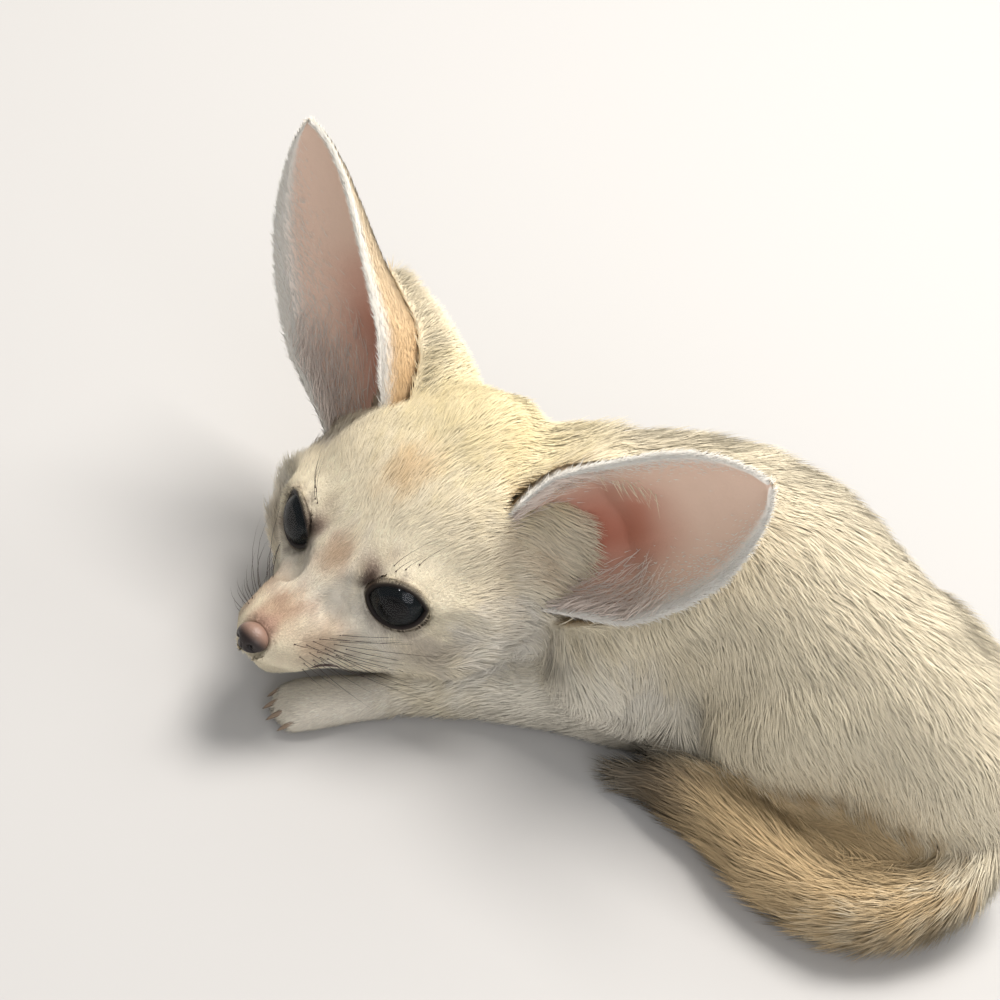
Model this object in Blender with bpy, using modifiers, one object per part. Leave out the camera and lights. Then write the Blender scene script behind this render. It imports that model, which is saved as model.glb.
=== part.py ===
"""A fennec fox kit of about seven weeks, life size, curled up on its belly on a flat floor.

The chin rests on the left forepaw, the ears stand up and out, the left haunch faces -Y and
the tail curls round in front of it. Sizes are in millimetres and +Z is up. The plan starts on
the floor under the chin, and the finished animal is moved so that the middle of its box stands
over the origin. The solids reach to the outside of the coat.
"""

from math import cos, pi, radians, sin, sqrt

import bmesh
import bpy
import numpy as np
from mathutils import Matrix, Vector

MM = 0.001
GAP = 0.3
COLLECTION = "fennec_fox_kit"

# Head: its origin lies midway between the eyes, +X along the muzzle, +Y to its left.
HEAD_HEADING = 236.4
EYE_HEIGHT = 34.0
HEAD_PLACE = (8.6, 14.2, EYE_HEIGHT)
EYE_RADIUS = 8.2
EYE_FRONT = (1.8, 17.1, 0.4)
EYE_TURN = 25.0
EYE_LIFT = 6.0
EYE_FACETS = (16, 10)
LID_THICKNESS = 1.7
# Turn to the side and up from the gaze, and radius, of the hollows round an eye.
EYE_HOLLOWS = ((0, -42, 9.0), (34, -34, 9.0), (60, -12, 8.0), (-48, -10, 5.0))
LID_OPENING = (1.32, 0.92, 0.85)
EAR_THICKNESS = 1.8
EAR_BEND = 6.0
NOSE_TIP = (28.6, 0.0, -8.2)
# Behind each ear: forward, aside and up from the head's origin, half width, half height.
EAR_HEEL = [
    (-43, 19, 13.5, 13, 12),
    (-45.5, 27.5, 20.5, 11, 9.5),
    (-46, 35, 26.5, 9, 6.5),
    (-45.5, 42, 32, 7, 3),
]

# Triangle budgets of the blended forms.
TRUNK_TRIANGLES = 1900
HEAD_TRIANGLES = 1500
PAW_TRIANGLES = 210
NOSE_TRIANGLES = 180

# Colour, roughness of each finish.
FINISHES = {
    "cream_coat": ((0.83, 0.74, 0.58), 0.85),
    "tan_coat": ((0.72, 0.54, 0.33), 0.85),
    "dark_coat": ((0.18, 0.14, 0.11), 0.85),
    "nose_leather": ((0.16, 0.09, 0.09), 0.4),
    "eye": ((0.01, 0.01, 0.015), 0.05),
}


def clear_scene():
    for thing in list(bpy.data.objects):
        bpy.data.objects.remove(thing)


def finish(name):
    """The material of that name, made on its first use."""
    material = bpy.data.materials.get(name)
    if material is None:
        colour, roughness = FINISHES[name]
        material = bpy.data.materials.new(name)
        material.use_nodes = True
        shader = material.node_tree.nodes["Principled BSDF"]
        shader.inputs["Base Color"].default_value = (*colour, 1.0)
        shader.inputs["Roughness"].default_value = roughness
        shader.inputs["Metallic"].default_value = 0.0
    return material


def linked(name, mesh, collection):
    thing = bpy.data.objects.new(name, mesh)
    collection.objects.link(thing)
    return thing


def closed_mesh(name, points, faces, place=Matrix.Identity(4)):
    """A mesh object of points in millimetres, moved by place, with its faces turned outwards."""
    mesh = bpy.data.meshes.new(name)
    mesh.from_pydata([tuple(place @ Vector(p)) for p in points], [], [tuple(f) for f in faces])
    form = bmesh.new()
    form.from_mesh(mesh)
    bmesh.ops.scale(form, vec=(MM, MM, MM), verts=form.verts)
    bmesh.ops.recalc_face_normals(form, faces=form.faces)
    form.to_mesh(mesh)
    form.free()
    return linked(name, mesh, bpy.data.collections["workbench"])


def smooth_rows(rows, steps):
    """Rows of numbers joined by a Catmull-Rom curve, with this many steps between two rows."""
    rows = np.array(rows, float)
    ends = np.vstack([2 * rows[0] - rows[1], rows, 2 * rows[-1] - rows[-2]])
    out = []
    for i in range(len(rows) - 1):
        a, b, c, d = ends[i : i + 4]
        for t in np.arange(steps) / steps:
            out.append(
                0.5
                * (2 * b + (c - a) * t + (2 * a - 5 * b + 4 * c - d) * t**2 + (3 * b - a - 3 * c + d) * t**3)
            )
    return np.array([*out, rows[-1]])


def ring_frames(centres, up):
    """The unit tangent, sideways and upward directions at each centre of a path."""
    tangents = np.gradient(centres, axis=0)
    tangents /= np.linalg.norm(tangents, axis=1)[:, None]
    sides = np.cross(tangents, up)
    sides /= np.linalg.norm(sides, axis=1)[:, None]
    return tangents, sides, np.cross(sides, tangents)


def loft(
    name, stations, steps=3, around=16, caps=(0.8, 0.8), up=(0, 0, 1), grow=0.0, place=Matrix.Identity(4)
):
    """A closed form through stations of (x, y, z, half width, half height up, half height down).

    caps says how far each end bulges, as a share of its half height; 0 leaves it flat.
    grow moves the whole surface out by that many millimetres.
    """
    rows = smooth_rows(stations, steps)
    rows[:, 3:] += grow
    tangents, sides, ups = ring_frames(rows[:, :3], up)
    angles = 2 * pi * np.arange(around) / around
    rings = []
    for end, index, away in ((0, 0, -1), (1, -1, 1)):
        reach = caps[end] * rows[index, 4:].mean() if caps[end] else grow
        rounds = (0.92, 0.7, 0.38) if caps[end] else (1.0,) if grow else ()
        extra = []
        for size in rounds:
            row = rows[index].copy()
            ahead = reach * sqrt(1 - size**2) if caps[end] else reach
            row[:3] += away * tangents[index] * ahead
            row[3:] *= size
            extra.append((row, sides[index], ups[index]))
        rings.append(extra)
    body = list(zip(rows, sides, ups))
    everything = rings[0][::-1] + body + rings[1]
    points = []
    for row, side, lift in everything:
        for a in angles:
            height = row[4] if sin(a) > 0 else row[5]
            points.append(row[:3] + side * row[3] * cos(a) + lift * height * sin(a))
    faces = []
    for i in range(len(everything) - 1):
        for j in range(around):
            k = (j + 1) % around
            faces.append((i * around + j, i * around + k, (i + 1) * around + k, (i + 1) * around + j))
    for end, index, away in ((0, 0, -1), (1, -1, 1)):
        first = 0 if end == 0 else (len(everything) - 1) * around
        reach = caps[end] * rows[index, 4:].mean() if caps[end] else (grow if grow else 0.0)
        points.append(rows[index, :3] + away * tangents[index] * reach)
        pole = len(points) - 1
        for j in range(around):
            faces.append((first + j, first + (j + 1) % around, pole))
    return closed_mesh(name, points, faces, place)


def ball(name, centre, radii, place=Matrix.Identity(4), segments=20, rings=12, turn=Matrix.Identity(3)):
    """An ellipsoid of these half sizes, turned and then placed."""
    mesh = bpy.data.meshes.new(name)
    form = bmesh.new()
    bmesh.ops.create_uvsphere(form, u_segments=segments, v_segments=rings, radius=1.0)
    bmesh.ops.scale(form, vec=Vector(radii), verts=form.verts)
    bmesh.ops.rotate(form, matrix=turn, verts=form.verts)
    bmesh.ops.translate(form, vec=Vector(centre), verts=form.verts)
    bmesh.ops.transform(form, matrix=place, verts=form.verts)
    bmesh.ops.scale(form, vec=(MM, MM, MM), verts=form.verts)
    bmesh.ops.recalc_face_normals(form, faces=form.faces)
    form.to_mesh(mesh)
    form.free()
    return linked(name, mesh, bpy.data.collections["workbench"])


def slab(name, outline, half_width, place=Matrix.Identity(4)):
    """A flat outline of (x, z) points, as thick as twice half_width along Y."""
    count = len(outline)
    points = [(x, side * half_width, z) for side in (-1, 1) for x, z in outline]
    faces = [tuple(range(count)), tuple(range(count, 2 * count))]
    faces += [(i, (i + 1) % count, count + (i + 1) % count, count + i) for i in range(count)]
    return closed_mesh(name, points, faces, place)


def spike(name, foot, tip, radius, place=Matrix.Identity(4), around=5):
    """A pointed cone from a foot to a tip."""
    foot, tip = np.array(foot), np.array(tip)
    axis = (tip - foot) / np.linalg.norm(tip - foot)
    across = np.cross(axis, (0, 0, 1))
    across /= np.linalg.norm(across)
    high = np.cross(across, axis)
    angles = 2 * pi * np.arange(around) / around
    points = [foot + radius * (across * cos(a) + high * sin(a)) for a in angles] + [tip]
    faces = [(i, (i + 1) % around, around) for i in range(around)] + [tuple(range(around))]
    return closed_mesh(name, points, faces, place)


def settle(thing):
    """Applies the modifiers of a mesh object."""
    bpy.context.view_layer.update()
    evaluated = thing.evaluated_get(bpy.context.evaluated_depsgraph_get())
    mesh = bpy.data.meshes.new_from_object(evaluated)
    thing.modifiers.clear()
    thing.data = mesh
    return thing


def discard(things):
    for thing in things:
        bpy.data.objects.remove(thing)


def signed_volume(faces):
    return sum(f.verts[0].co.dot(f.verts[1].co.cross(f.verts[2].co)) for f in faces) / 6


def closed_bodies(form):
    """The separate closed surfaces of a triangulated bmesh as sets of vertices, largest volume first."""
    left = set(form.verts)
    bodies = []
    while left:
        front = [left.pop()]
        body = set(front)
        while front:
            vert = front.pop()
            near = {edge.other_vert(vert) for edge in vert.link_edges} - body
            body |= near
            front.extend(near)
        left -= body
        faces = {face for vert in body for face in vert.link_faces}
        bodies.append((abs(signed_volume(faces)), body))
    bodies.sort(key=lambda pair: -pair[0])
    return [body for _, body in bodies]


def only_body(thing, number=0):
    """Keeps one closed surface of a mesh object, 0 being the largest."""
    form = bmesh.new()
    form.from_mesh(thing.data)
    bmesh.ops.triangulate(form, faces=form.faces)
    bodies = closed_bodies(form)
    loose = [vert for i, body in enumerate(bodies) if i != number for vert in body]
    bmesh.ops.delete(form, geom=loose, context="VERTS")
    form.to_mesh(thing.data)
    form.free()
    return thing


def combine(thing, others, operation, solver="MANIFOLD"):
    """Joins, cuts or intersects a mesh object with others, applies it and keeps the largest surface."""
    for other in others:
        modifier = thing.modifiers.new("combine", "BOOLEAN")
        modifier.operation = operation
        modifier.solver = solver
        modifier.object = other
    return only_body(settle(thing))


def parted(thing, cutters, middles):
    """The pieces that thin cutters leave of a long part, in the order of the given middles."""
    for cutter in cutters:
        modifier = thing.modifiers.new("cut", "BOOLEAN")
        modifier.operation = "DIFFERENCE"
        modifier.solver = "MANIFOLD"
        modifier.object = cutter
    settle(thing)
    discard(cutters)
    pieces = [only_body(copy_of(thing, "piece"), number) for number in range(len(middles))]
    discard([thing])
    ordered = []
    for middle in middles:
        centres = [sum((v.co for v in p.data.vertices), Vector()) / len(p.data.vertices) for p in pieces]
        far = [(centre - middle).length for centre in centres]
        ordered.append(pieces.pop(far.index(min(far))))
    return ordered


def copy_of(thing, name):
    return linked(name, thing.data.copy(), bpy.data.collections["workbench"])


def grown(thing, distance=GAP):
    """A copy of a closed mesh object whose surface is moved out by distance."""
    copy = copy_of(thing, thing.name + ".grown")
    swell = copy.modifiers.new("swell", "DISPLACE")
    swell.strength = distance * MM
    swell.mid_level = 0.0
    return settle(copy)


def blended(name, shells, voxel, rounds, triangles, hollows=()):
    """Closed shells fused, less the hollows, into one smooth surface of about this many triangles."""
    forms = bmesh.new()
    for shell in shells:
        forms.from_mesh(shell.data)
    mesh = bpy.data.meshes.new(name)
    forms.to_mesh(mesh)
    forms.free()
    discard(shells)
    thing = linked(name, mesh, bpy.data.collections["workbench"])
    fuse = thing.modifiers.new("fuse", "REMESH")
    fuse.mode = "VOXEL"
    fuse.voxel_size = voxel * MM
    for hollow in hollows:
        dish = thing.modifiers.new("dish", "BOOLEAN")
        dish.operation = "DIFFERENCE"
        dish.solver = "MANIFOLD"
        dish.object = hollow
    soften = thing.modifiers.new("soften", "SMOOTH")
    soften.factor = 0.5
    soften.iterations = rounds
    settle(thing)
    discard(hollows)
    thin = thing.modifiers.new("thin", "DECIMATE")
    faces = sum(len(face.vertices) - 2 for face in thing.data.polygons)
    thin.ratio = min(1.0, triangles / faces)
    return only_body(settle(thing))


def above_floor(thing):
    """Cuts flat what would reach below the floor, so that the animal rests on small flats."""
    lowest = min(v.co.z for v in thing.data.vertices)
    if lowest > 0:
        return thing
    size = 400.0
    floor = slab("floor", [(-size, -size), (size, -size), (size, 0.0), (-size, 0.0)], size)
    combine(thing, [floor], "DIFFERENCE")
    discard([floor])
    return thing


def boxes_meet(a, b):
    """Whether the boxes round two mesh objects come within a gap of each other."""
    spans = []
    for thing in (a, b):
        corners = np.array([v.co for v in thing.data.vertices])
        spans.append((corners.min(0) - GAP * MM, corners.max(0) + GAP * MM))
    return bool(np.all(spans[0][0] < spans[1][1]) and np.all(spans[1][0] < spans[0][1]))


def clear_of(thing, neighbours):
    """Cuts a mesh object back from each neighbour by the gap."""
    for neighbour in neighbours:
        if boxes_meet(thing, neighbour):
            room = grown(neighbour)
            combine(thing, [room], "DIFFERENCE")
            discard([room])
    return thing


# Head


def head_place():
    return Matrix.Translation(HEAD_PLACE) @ Matrix.Rotation(radians(HEAD_HEADING), 4, "Z")


def eye_frame(side):
    """The eyeball's centre and its outward, sideways and upward directions, in the head."""
    turn, lift = radians(EYE_TURN), radians(EYE_LIFT)
    gaze = Vector((cos(turn) * cos(lift), side * sin(turn) * cos(lift), sin(lift)))
    front = Vector((EYE_FRONT[0], side * EYE_FRONT[1], EYE_FRONT[2]))
    back_out = Vector((-sin(turn), side * cos(turn), 0.0))
    return front - gaze * EYE_RADIUS, gaze, back_out, gaze.cross(back_out) * side


def head_shells(place):
    """The rounded masses of the head, from the nose back to the nape."""
    skull = [
        (7, 0, -4.5, 10.0, 7.5, 13),
        (0, 0, -4, 16.5, 12.5, 16),
        (-8, 0, -3.5, 22.0, 20.0, 20),
        (-17, 0, -3, 28.5, 26, 21.5),
        (-25, 0, -3, 28, 29, 22),
        (-34, 0, -2, 23, 31.5, 22),
        (-44, 0, 0, 20, 31, 20),
        (-52, 0, 1, 15, 24, 16),
    ]
    muzzle = [
        (26.5, 0, -9.2, 5.2, 4.2, 4.8),
        (23, 0, -9.8, 8.0, 5.8, 6.2),
        (16, 0, -10.2, 11.2, 8.2, 8.0),
        (8, 0, -10.2, 13.0, 9.4, 9.8),
        (0, 0, -8.0, 15.5, 11.0, 13),
    ]
    jaw = [
        (21.5, 0, -18.4, 4.8, 2.6, 3.0),
        (16, 0, -19.0, 7.6, 3.6, 3.8),
        (6, 0, -19.6, 12.0, 5.0, 5.0),
        (-8, 0, -19.5, 18.0, 7.0, 6.5),
    ]
    shells = [
        loft("skull", skull, caps=(0.5, 0.5), around=20, place=place),
        loft("muzzle", muzzle, caps=(0.7, 0.5), place=place),
        loft("jaw", jaw, caps=(0.8, 0.5), place=place),
    ]
    for side in (-1, 1):
        centre, _, _, _ = eye_frame(side)
        lids = (EYE_RADIUS + LID_THICKNESS,) * 3
        shells.append(ball("lids", centre, lids, place, 24, 14))
        shells.append(ball("cheek", (-19, side * 19.5, -8.5), (23, 16.5, 15.5), place))
        shells.append(ball("ruff", (-29, side * 25.0, -13.5), (13, 9.5, 10), place))
        shells.append(ball("cheek_front", (0, side * 12.5, -13.0), (12, 10.0, 8.5), place))
        heel = [(x, side * y, z, wide, high, high) for x, y, z, wide, high in EAR_HEEL]
        shells.append(loft("ear_heel", heel, place=place))
        shells.append(ball("whisker_pad", (16.5, side * 6.4, -12.6), (7.5, 5.4, 4.8), place))
    return shells


def eye_hollows(side, place):
    """Balls that dish the flesh round an eye down to its lids."""
    centre, gaze, out, up = eye_frame(side)
    balls = []
    for turn, lift, radius in EYE_HOLLOWS:
        turn, lift = radians(turn), radians(lift)
        away = (gaze * cos(turn) + out * sin(turn)) * cos(lift) + up * sin(lift)
        reach = EYE_RADIUS + LID_THICKNESS + 0.2 + radius
        balls.append(ball("eye_hollow", centre + away * reach, (radius,) * 3, place))
    return balls


def lid_opening(side, place):
    """An almond cone from the eyeball's middle out through the lids."""
    centre, gaze, out, up = eye_frame(side)
    wide, high, low = LID_OPENING
    points = [centre]
    steps = 20
    reach = EYE_RADIUS + 6.0
    for i in range(steps):
        a = 2 * pi * i / steps
        across = wide * cos(a)
        tall = (high if sin(a) > 0 else low) * sin(a) * abs(sin(a)) ** 0.25
        ray = (gaze + out * across + up * tall).normalized()
        points.append(centre + ray * reach)
    points.append(centre + gaze * reach * 1.1)
    faces = [(0, 1 + i, 1 + (i + 1) % steps) for i in range(steps)]
    faces += [(steps + 1, 1 + i, 1 + (i + 1) % steps) for i in range(steps)]
    return closed_mesh("lid_opening", points, faces, place)


def make_nose(place):
    """The bare nose pad with its two comma nostrils and the groove between them, and its room."""
    x, y, z = NOSE_TIP
    pad = [
        ball("nose_pad", (x - 1.8, y, z + 0.4), (3.4, 4.9, 3.7), place, 24, 14),
        ball("nose_foot", (x - 2.2, y, z - 2.6), (2.6, 2.4, 2.6), place),
    ]
    nose = blended("nose", pad, 0.5, 3, NOSE_TRIANGLES)
    room = grown(nose)
    cuts = []
    for side in (-1, 1):
        slope = Matrix.Rotation(radians(side * 28), 3, "X") @ Matrix.Rotation(radians(side * 30), 3, "Z")
        cuts.append(ball("nostril", (x + 0.4, side * 2.7, z + 0.3), (2.0, 0.95, 1.3), place, 8, 6, slope))
    groove = [(x + 0.9, z - 6), (x + 3, z - 6), (x + 3, z + 2.0), (x + 1.2, z + 1.2)]
    cuts.append(slab("groove", groove, 0.25, place))
    combine(nose, cuts, "DIFFERENCE")
    discard(cuts)
    return nose, room


def mouth_outline(rise=0.0):
    """The side view of the lower jaw's region, whose upper edge is the line of the mouth."""
    return [
        (32.0, -14.0 + rise),
        (26.0, -15.0 + rise),
        (19.0, -17.2 + rise),
        (11.0, -17.6 + rise),
        (4.0 - rise, -16.6 + rise),
        (0.5 - rise, -21.0),
        (-1.5 - rise, -45.0),
        (32.0, -45.0),
    ]


def make_head():
    """The nodes of the head by name, the head before its eyes and mouth are cut, and the ears' rooms."""
    place = head_place()
    nose, nose_room = make_nose(place)
    parts = {"nose": nose}
    for side, name in ((1, "left"), (-1, "right")):
        centre, _, _, _ = eye_frame(side)
        parts["eye_" + name] = ball("eye_" + name, centre, (EYE_RADIUS,) * 3, place, *EYE_FACETS)
    hollows = eye_hollows(1, place) + eye_hollows(-1, place)
    head = blended("head", head_shells(place), 0.9, 36, HEAD_TRIANGLES, hollows)
    rooms = []
    for name in EARS:
        parts[name], room = make_ear(name)
        rooms.append(room)
    combine(head, rooms, "DIFFERENCE")
    for name in EARS:
        clear_of(parts[name], [head])
    whole = copy_of(head, "head.whole")
    jaw = combine(copy_of(head, "lower_jaw"), [slab("jaw_region", mouth_outline(), 20, place)], "INTERSECT")
    cuts = [slab("jaw_room", mouth_outline(GAP), 21, place), nose_room]
    for side in (-1, 1):
        centre, _, _, _ = eye_frame(side)
        cuts.append(ball("socket", centre, (EYE_RADIUS + GAP,) * 3, place, *EYE_FACETS))
        cuts.append(lid_opening(side, place))
    combine(head, cuts, "DIFFERENCE")
    combine(jaw, [cuts[1]], "DIFFERENCE")
    discard(cuts)
    parts["lower_jaw"] = jaw
    parts["head"] = head
    return parts, whole, rooms


# Ears


# Share of the length, half width to the inner edge, half width to the outer edge, half arc in degrees.
EAR_STATIONS = [
    (-0.18, 12.0, 12.5, 116),
    (-0.05, 14.2, 14.5, 112),
    (0.10, 15.9, 16.6, 106),
    (0.22, 16.8, 18.8, 98),
    (0.34, 16.6, 19.3, 86),
    (0.50, 15.6, 18.8, 72),
    (0.66, 14.2, 16.8, 60),
    (0.78, 12.0, 13.2, 52),
    (0.88, 8.8, 9.3, 44),
    (0.96, 4.4, 5.2, 40),
    (1.0, 1.3, 1.6, 40),
]
# Side, middle of the ear's foot, tip, and the way that the cup opens.
EARS = {
    "ear_left": (1, (-28.0, 30.0, 9.0), (-45.5, 68.0, 53.5), (0.97, 0.14, 0.10)),
    "ear_right": (-1, (-28.0, -30.0, 9.0), (-46.5, -74.0, 55.0), (0.98, -0.12, 0.10)),
}


def ear_rows(name, across):
    """The cupped sheet of an ear: arcs carried along its length, as rows of points."""
    side, base, tip, opening = EARS[name]
    base, tip = np.array(base), np.array(tip)
    length = np.linalg.norm(tip - base)
    axis = (tip - base) / length
    front = np.array(opening) - axis * np.dot(opening, axis)
    front /= np.linalg.norm(front)
    inward = np.cross(front, axis) * side
    rows = []
    for share, inner, outer, arc in smooth_rows(EAR_STATIONS, 2):
        spine = base + axis * length * share + front * EAR_BEND * max(share, 0) * (1 - share)
        row = []
        for v in np.linspace(-1, 1, across + 1):
            radius = (inner if v > 0 else outer) / sin(radians(min(arc, 90)))
            turn = radians(arc) * v
            row.append(spine + inward * radius * sin(turn) + front * radius * (cos(radians(arc)) - cos(turn)))
        rows.append(row)
    return rows


def make_ear(name, across=8):
    """An ear as a thin cup, and the room that it and its hollow take up."""
    rows = ear_rows(name, across)
    points = [point for row in rows for point in row]
    step = across + 1
    faces = [
        (i * step + j, i * step + j + 1, (i + 1) * step + j + 1, (i + 1) * step + j)
        for i in range(len(rows) - 1)
        for j in range(across)
    ]
    ear = closed_mesh(name, points, faces, head_place())
    wall = ear.modifiers.new("wall", "SOLIDIFY")
    wall.thickness = EAR_THICKNESS * MM
    wall.offset = 0.0
    settle(ear)
    starts = range(0, (len(rows) - 1) * step, step)
    chords = [(i + across, i, i + step, i + step + across) for i in starts]
    ends = [tuple(range(step)), tuple(range(len(points) - step, len(points)))]
    cup = closed_mesh("cup", points, faces + chords + ends, head_place())
    room = grown(cup, EAR_THICKNESS / 2 + GAP)
    discard([cup])
    return ear, room


# Body


SPINE = [
    # neck base, shoulders, chest, belly, loin, hips, rump
    (46, 45, 37, 19, 21, 24),
    (62, 43, 38, 24, 27, 33),
    (82, 41.5, 37, 28.5, 33, 37),
    (101, 36.5, 36, 30, 34.5, 37),
    (117, 26.5, 34.5, 28, 31, 35),
    (133, 17.5, 31.5, 25.5, 27.5, 32),
    (146, 9.5, 26, 20, 22, 25),
    (154, 6, 20, 14, 15, 17),
]
NECK = [(27, 46, 34, 19, 18, 20), (40, 46, 36, 20, 20.5, 24), (58, 44, 38, 23, 26, 30)]
THIGHS = {
    "left": [
        (146, 18, 40, 15, 17, 17),
        (136, 15.5, 36, 18, 22, 24),
        (120, 11, 31, 17.5, 23, 24),
        (107, 9, 25.5, 14.5, 18.5, 18.5),
        (100, 9, 22.5, 10.5, 13, 13),
    ],
    "right": [
        (148, 28, 34, 14, 16, 17),
        (138, 36, 31, 17, 19, 22),
        (124, 44, 28, 16, 18, 20),
        (112, 50, 24, 13, 15, 16),
        (105, 53, 21, 9.5, 11, 12),
    ],
}
UPPER_ARMS = {
    "left": [
        (70, 27, 38, 10, 11, 12),
        (68, 21, 27, 13.5, 12, 14.5),
        (70, 18, 18, 13, 12, 13),
        (76, 18.5, 13, 8, 7, 8),
    ],
    "right": [
        (64, 60, 38, 10, 12, 12),
        (67, 63, 28, 11, 11, 12),
        (70, 65, 18, 10.5, 10, 11),
        (75, 66, 13, 7, 6.5, 7.5),
    ],
}
FOREARMS = {
    "left": [
        (84, 18, 10.5, 9.8, 10, 11),
        (66, 17, 9.5, 8.6, 8.6, 10),
        (46, 14, 8.5, 7.4, 7.2, 9),
        (30, 9, 7.5, 6.6, 6.2, 8),
    ],
    "right": [
        (79, 66, 10, 9, 9, 10.5),
        (62, 66, 9, 8, 8, 9.5),
        (44, 63, 8, 6.8, 6.8, 8.5),
        (32, 59, 7.5, 6.4, 6.2, 8),
    ],
}
FOREPAWS = {
    # wrist, toes
    "left": ((26, 7), (4.5, -4.0)),
    "right": ((28, 57.5), (8, 49)),
}
SHANKS = {
    "left": [(106, 6, 15, 9, 9, 10), (124, 4, 14, 8.5, 8.5, 9), (145, 6, 12, 6.5, 7, 8)],
    "right": [(112, 51, 14, 8.5, 9, 10), (130, 48, 13, 8, 8.5, 9), (149, 41, 11, 6.5, 7, 8)],
}
HIND_FEET = {
    # heel, toes
    "left": ((148, 4.5), (116, 0.5)),
    "right": ((152, 40), (121, 57)),
}
TAIL = [
    (159, 7, 19, 9, 9, 10),
    (159, -3, 14, 9.5, 9, 11),
    (150, -14, 10.5, 10, 9.5, 11),
    (134, -21.5, 10, 10.5, 10, 11),
    (118, -16.5, 10, 10.5, 10, 11),
    (106, -7, 10, 10, 9.5, 11),
    (95, -1.5, 9.5, 8.5, 8.5, 10.5),
    (86, 1, 7.5, 5, 5.5, 8),
]
TAIL_CUTS = (2, 5)


def paw_frame(ends):
    """The matrix of a paw or foot whose toes point along its own +X, and its length."""
    (back_x, back_y), (tip_x, tip_y) = ends
    length = Vector((tip_x - back_x, tip_y - back_y)).length
    heading = Vector((tip_x - back_x, tip_y - back_y)).angle_signed(Vector((1, 0)))
    return Matrix.Translation((back_x, back_y, 0)) @ Matrix.Rotation(heading, 4, "Z"), length


def make_paw(name, ends, wide, high, heel):
    """A paw or foot lying on the floor: its sole, four toes and their claws."""
    place, length = paw_frame(ends)
    sole = [
        (0, 0, heel, 0.8 * wide, heel * 0.9, heel + 1),
        (0.4 * length, 0, high, 0.86 * wide, high * 0.95, high + 1),
        (0.8 * length, 0, 0.95 * high, wide, 0.9 * high, high + 1),
        (0.98 * length, 0, 0.85 * high, 0.95 * wide, 0.75 * high, high),
    ]
    shells = [loft("sole", sole, steps=2, around=14, caps=(0.7, 0.3), place=place)]
    claws = []
    for number in range(4):
        spread = (number - 1.5) / 1.5
        reach = length + (2.6 if abs(spread) < 0.5 else 0.8)
        y = spread * 0.68 * wide
        toe = (0.36 * wide, 0.27 * wide, 0.62 * high)
        shells.append(ball("toe", (reach - 1.2, y, 0.62 * high), toe, place, 12, 8))
        point = (reach + 2.4, y * 1.04, 0.5 * high)
        claws.append(spike("claw", (reach - 1.5, y, 0.85 * high), point, 0.75, place))
    paw = blended(name, shells, 0.8, 3, PAW_TRIANGLES)
    combine(paw, claws, "UNION")
    discard(claws)
    return above_floor(paw)


def tail_pieces():
    """The tail, modelled whole and parted with thin upright cuts square to its length."""
    tail = above_floor(loft("tail", TAIL, around=12, caps=(0.6, 1.3)))
    rows = smooth_rows(TAIL, 3)
    tangents, _, _ = ring_frames(rows[:, :3], (0, 0, 1))
    cutters = []
    for cut in TAIL_CUTS:
        spot, heading = rows[3 * cut, :3], np.arctan2(tangents[3 * cut, 1], tangents[3 * cut, 0])
        place = Matrix.Translation((spot[0], spot[1], 0)) @ Matrix.Rotation(heading, 4, "Z")
        half = GAP / 2
        cutters.append(slab("cut", [(-half, -5), (half, -5), (half, 50), (-half, 50)], 22, place))
    ends = [0, *TAIL_CUTS, len(TAIL) - 1]
    middles = [Vector(rows[round(1.5 * (a + b)), :3]) * MM for a, b in zip(ends[:-1], ends[1:])]
    return parted(tail, cutters, middles)


def trunk():
    """The torso, neck, thighs and upper arms as one smooth body."""
    shells = [
        loft("torso", SPINE, caps=(0.6, 0.6), around=20),
        loft("neck", NECK, caps=(0.5, 0.5), around=20),
    ]
    shells += [loft("thigh", rows, caps=(0.6, 0.6)) for rows in THIGHS.values()]
    shells += [loft("upper_arm", rows, caps=(0.8, 0.6)) for rows in UPPER_ARMS.values()]
    return above_floor(blended("trunk", shells, 1.7, 8, TRUNK_TRIANGLES))


def taken_from(whole, name, region):
    """The part of whole inside a region, which leaves whole with a gap round it."""
    part = combine(copy_of(whole, name), [region], "INTERSECT")
    room = grown(region)
    combine(whole, [room], "DIFFERENCE")
    discard([region, room])
    return part


LIMB_MARGIN = 3.5
NECK_CUT = (58.0, 44.0)
WAIST_CUT = (96.0, 38.0)
NECK_HEADING = 5.0
WAIST_HEADING = 20.0


def half_space(name, spot, heading, front):
    """A tall box that ends in an upright plane through spot; front says on which side it lies."""
    size = 150.0
    place = Matrix.Translation((*spot, 0)) @ Matrix.Rotation(radians(-heading), 4, "Z")
    ends = (-size, 0.0) if front else (0.0, size)
    outline = [(ends[0], -10), (ends[1], -10), (ends[1], 120), (ends[0], 120)]
    return slab(name, outline, size, place)


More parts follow.
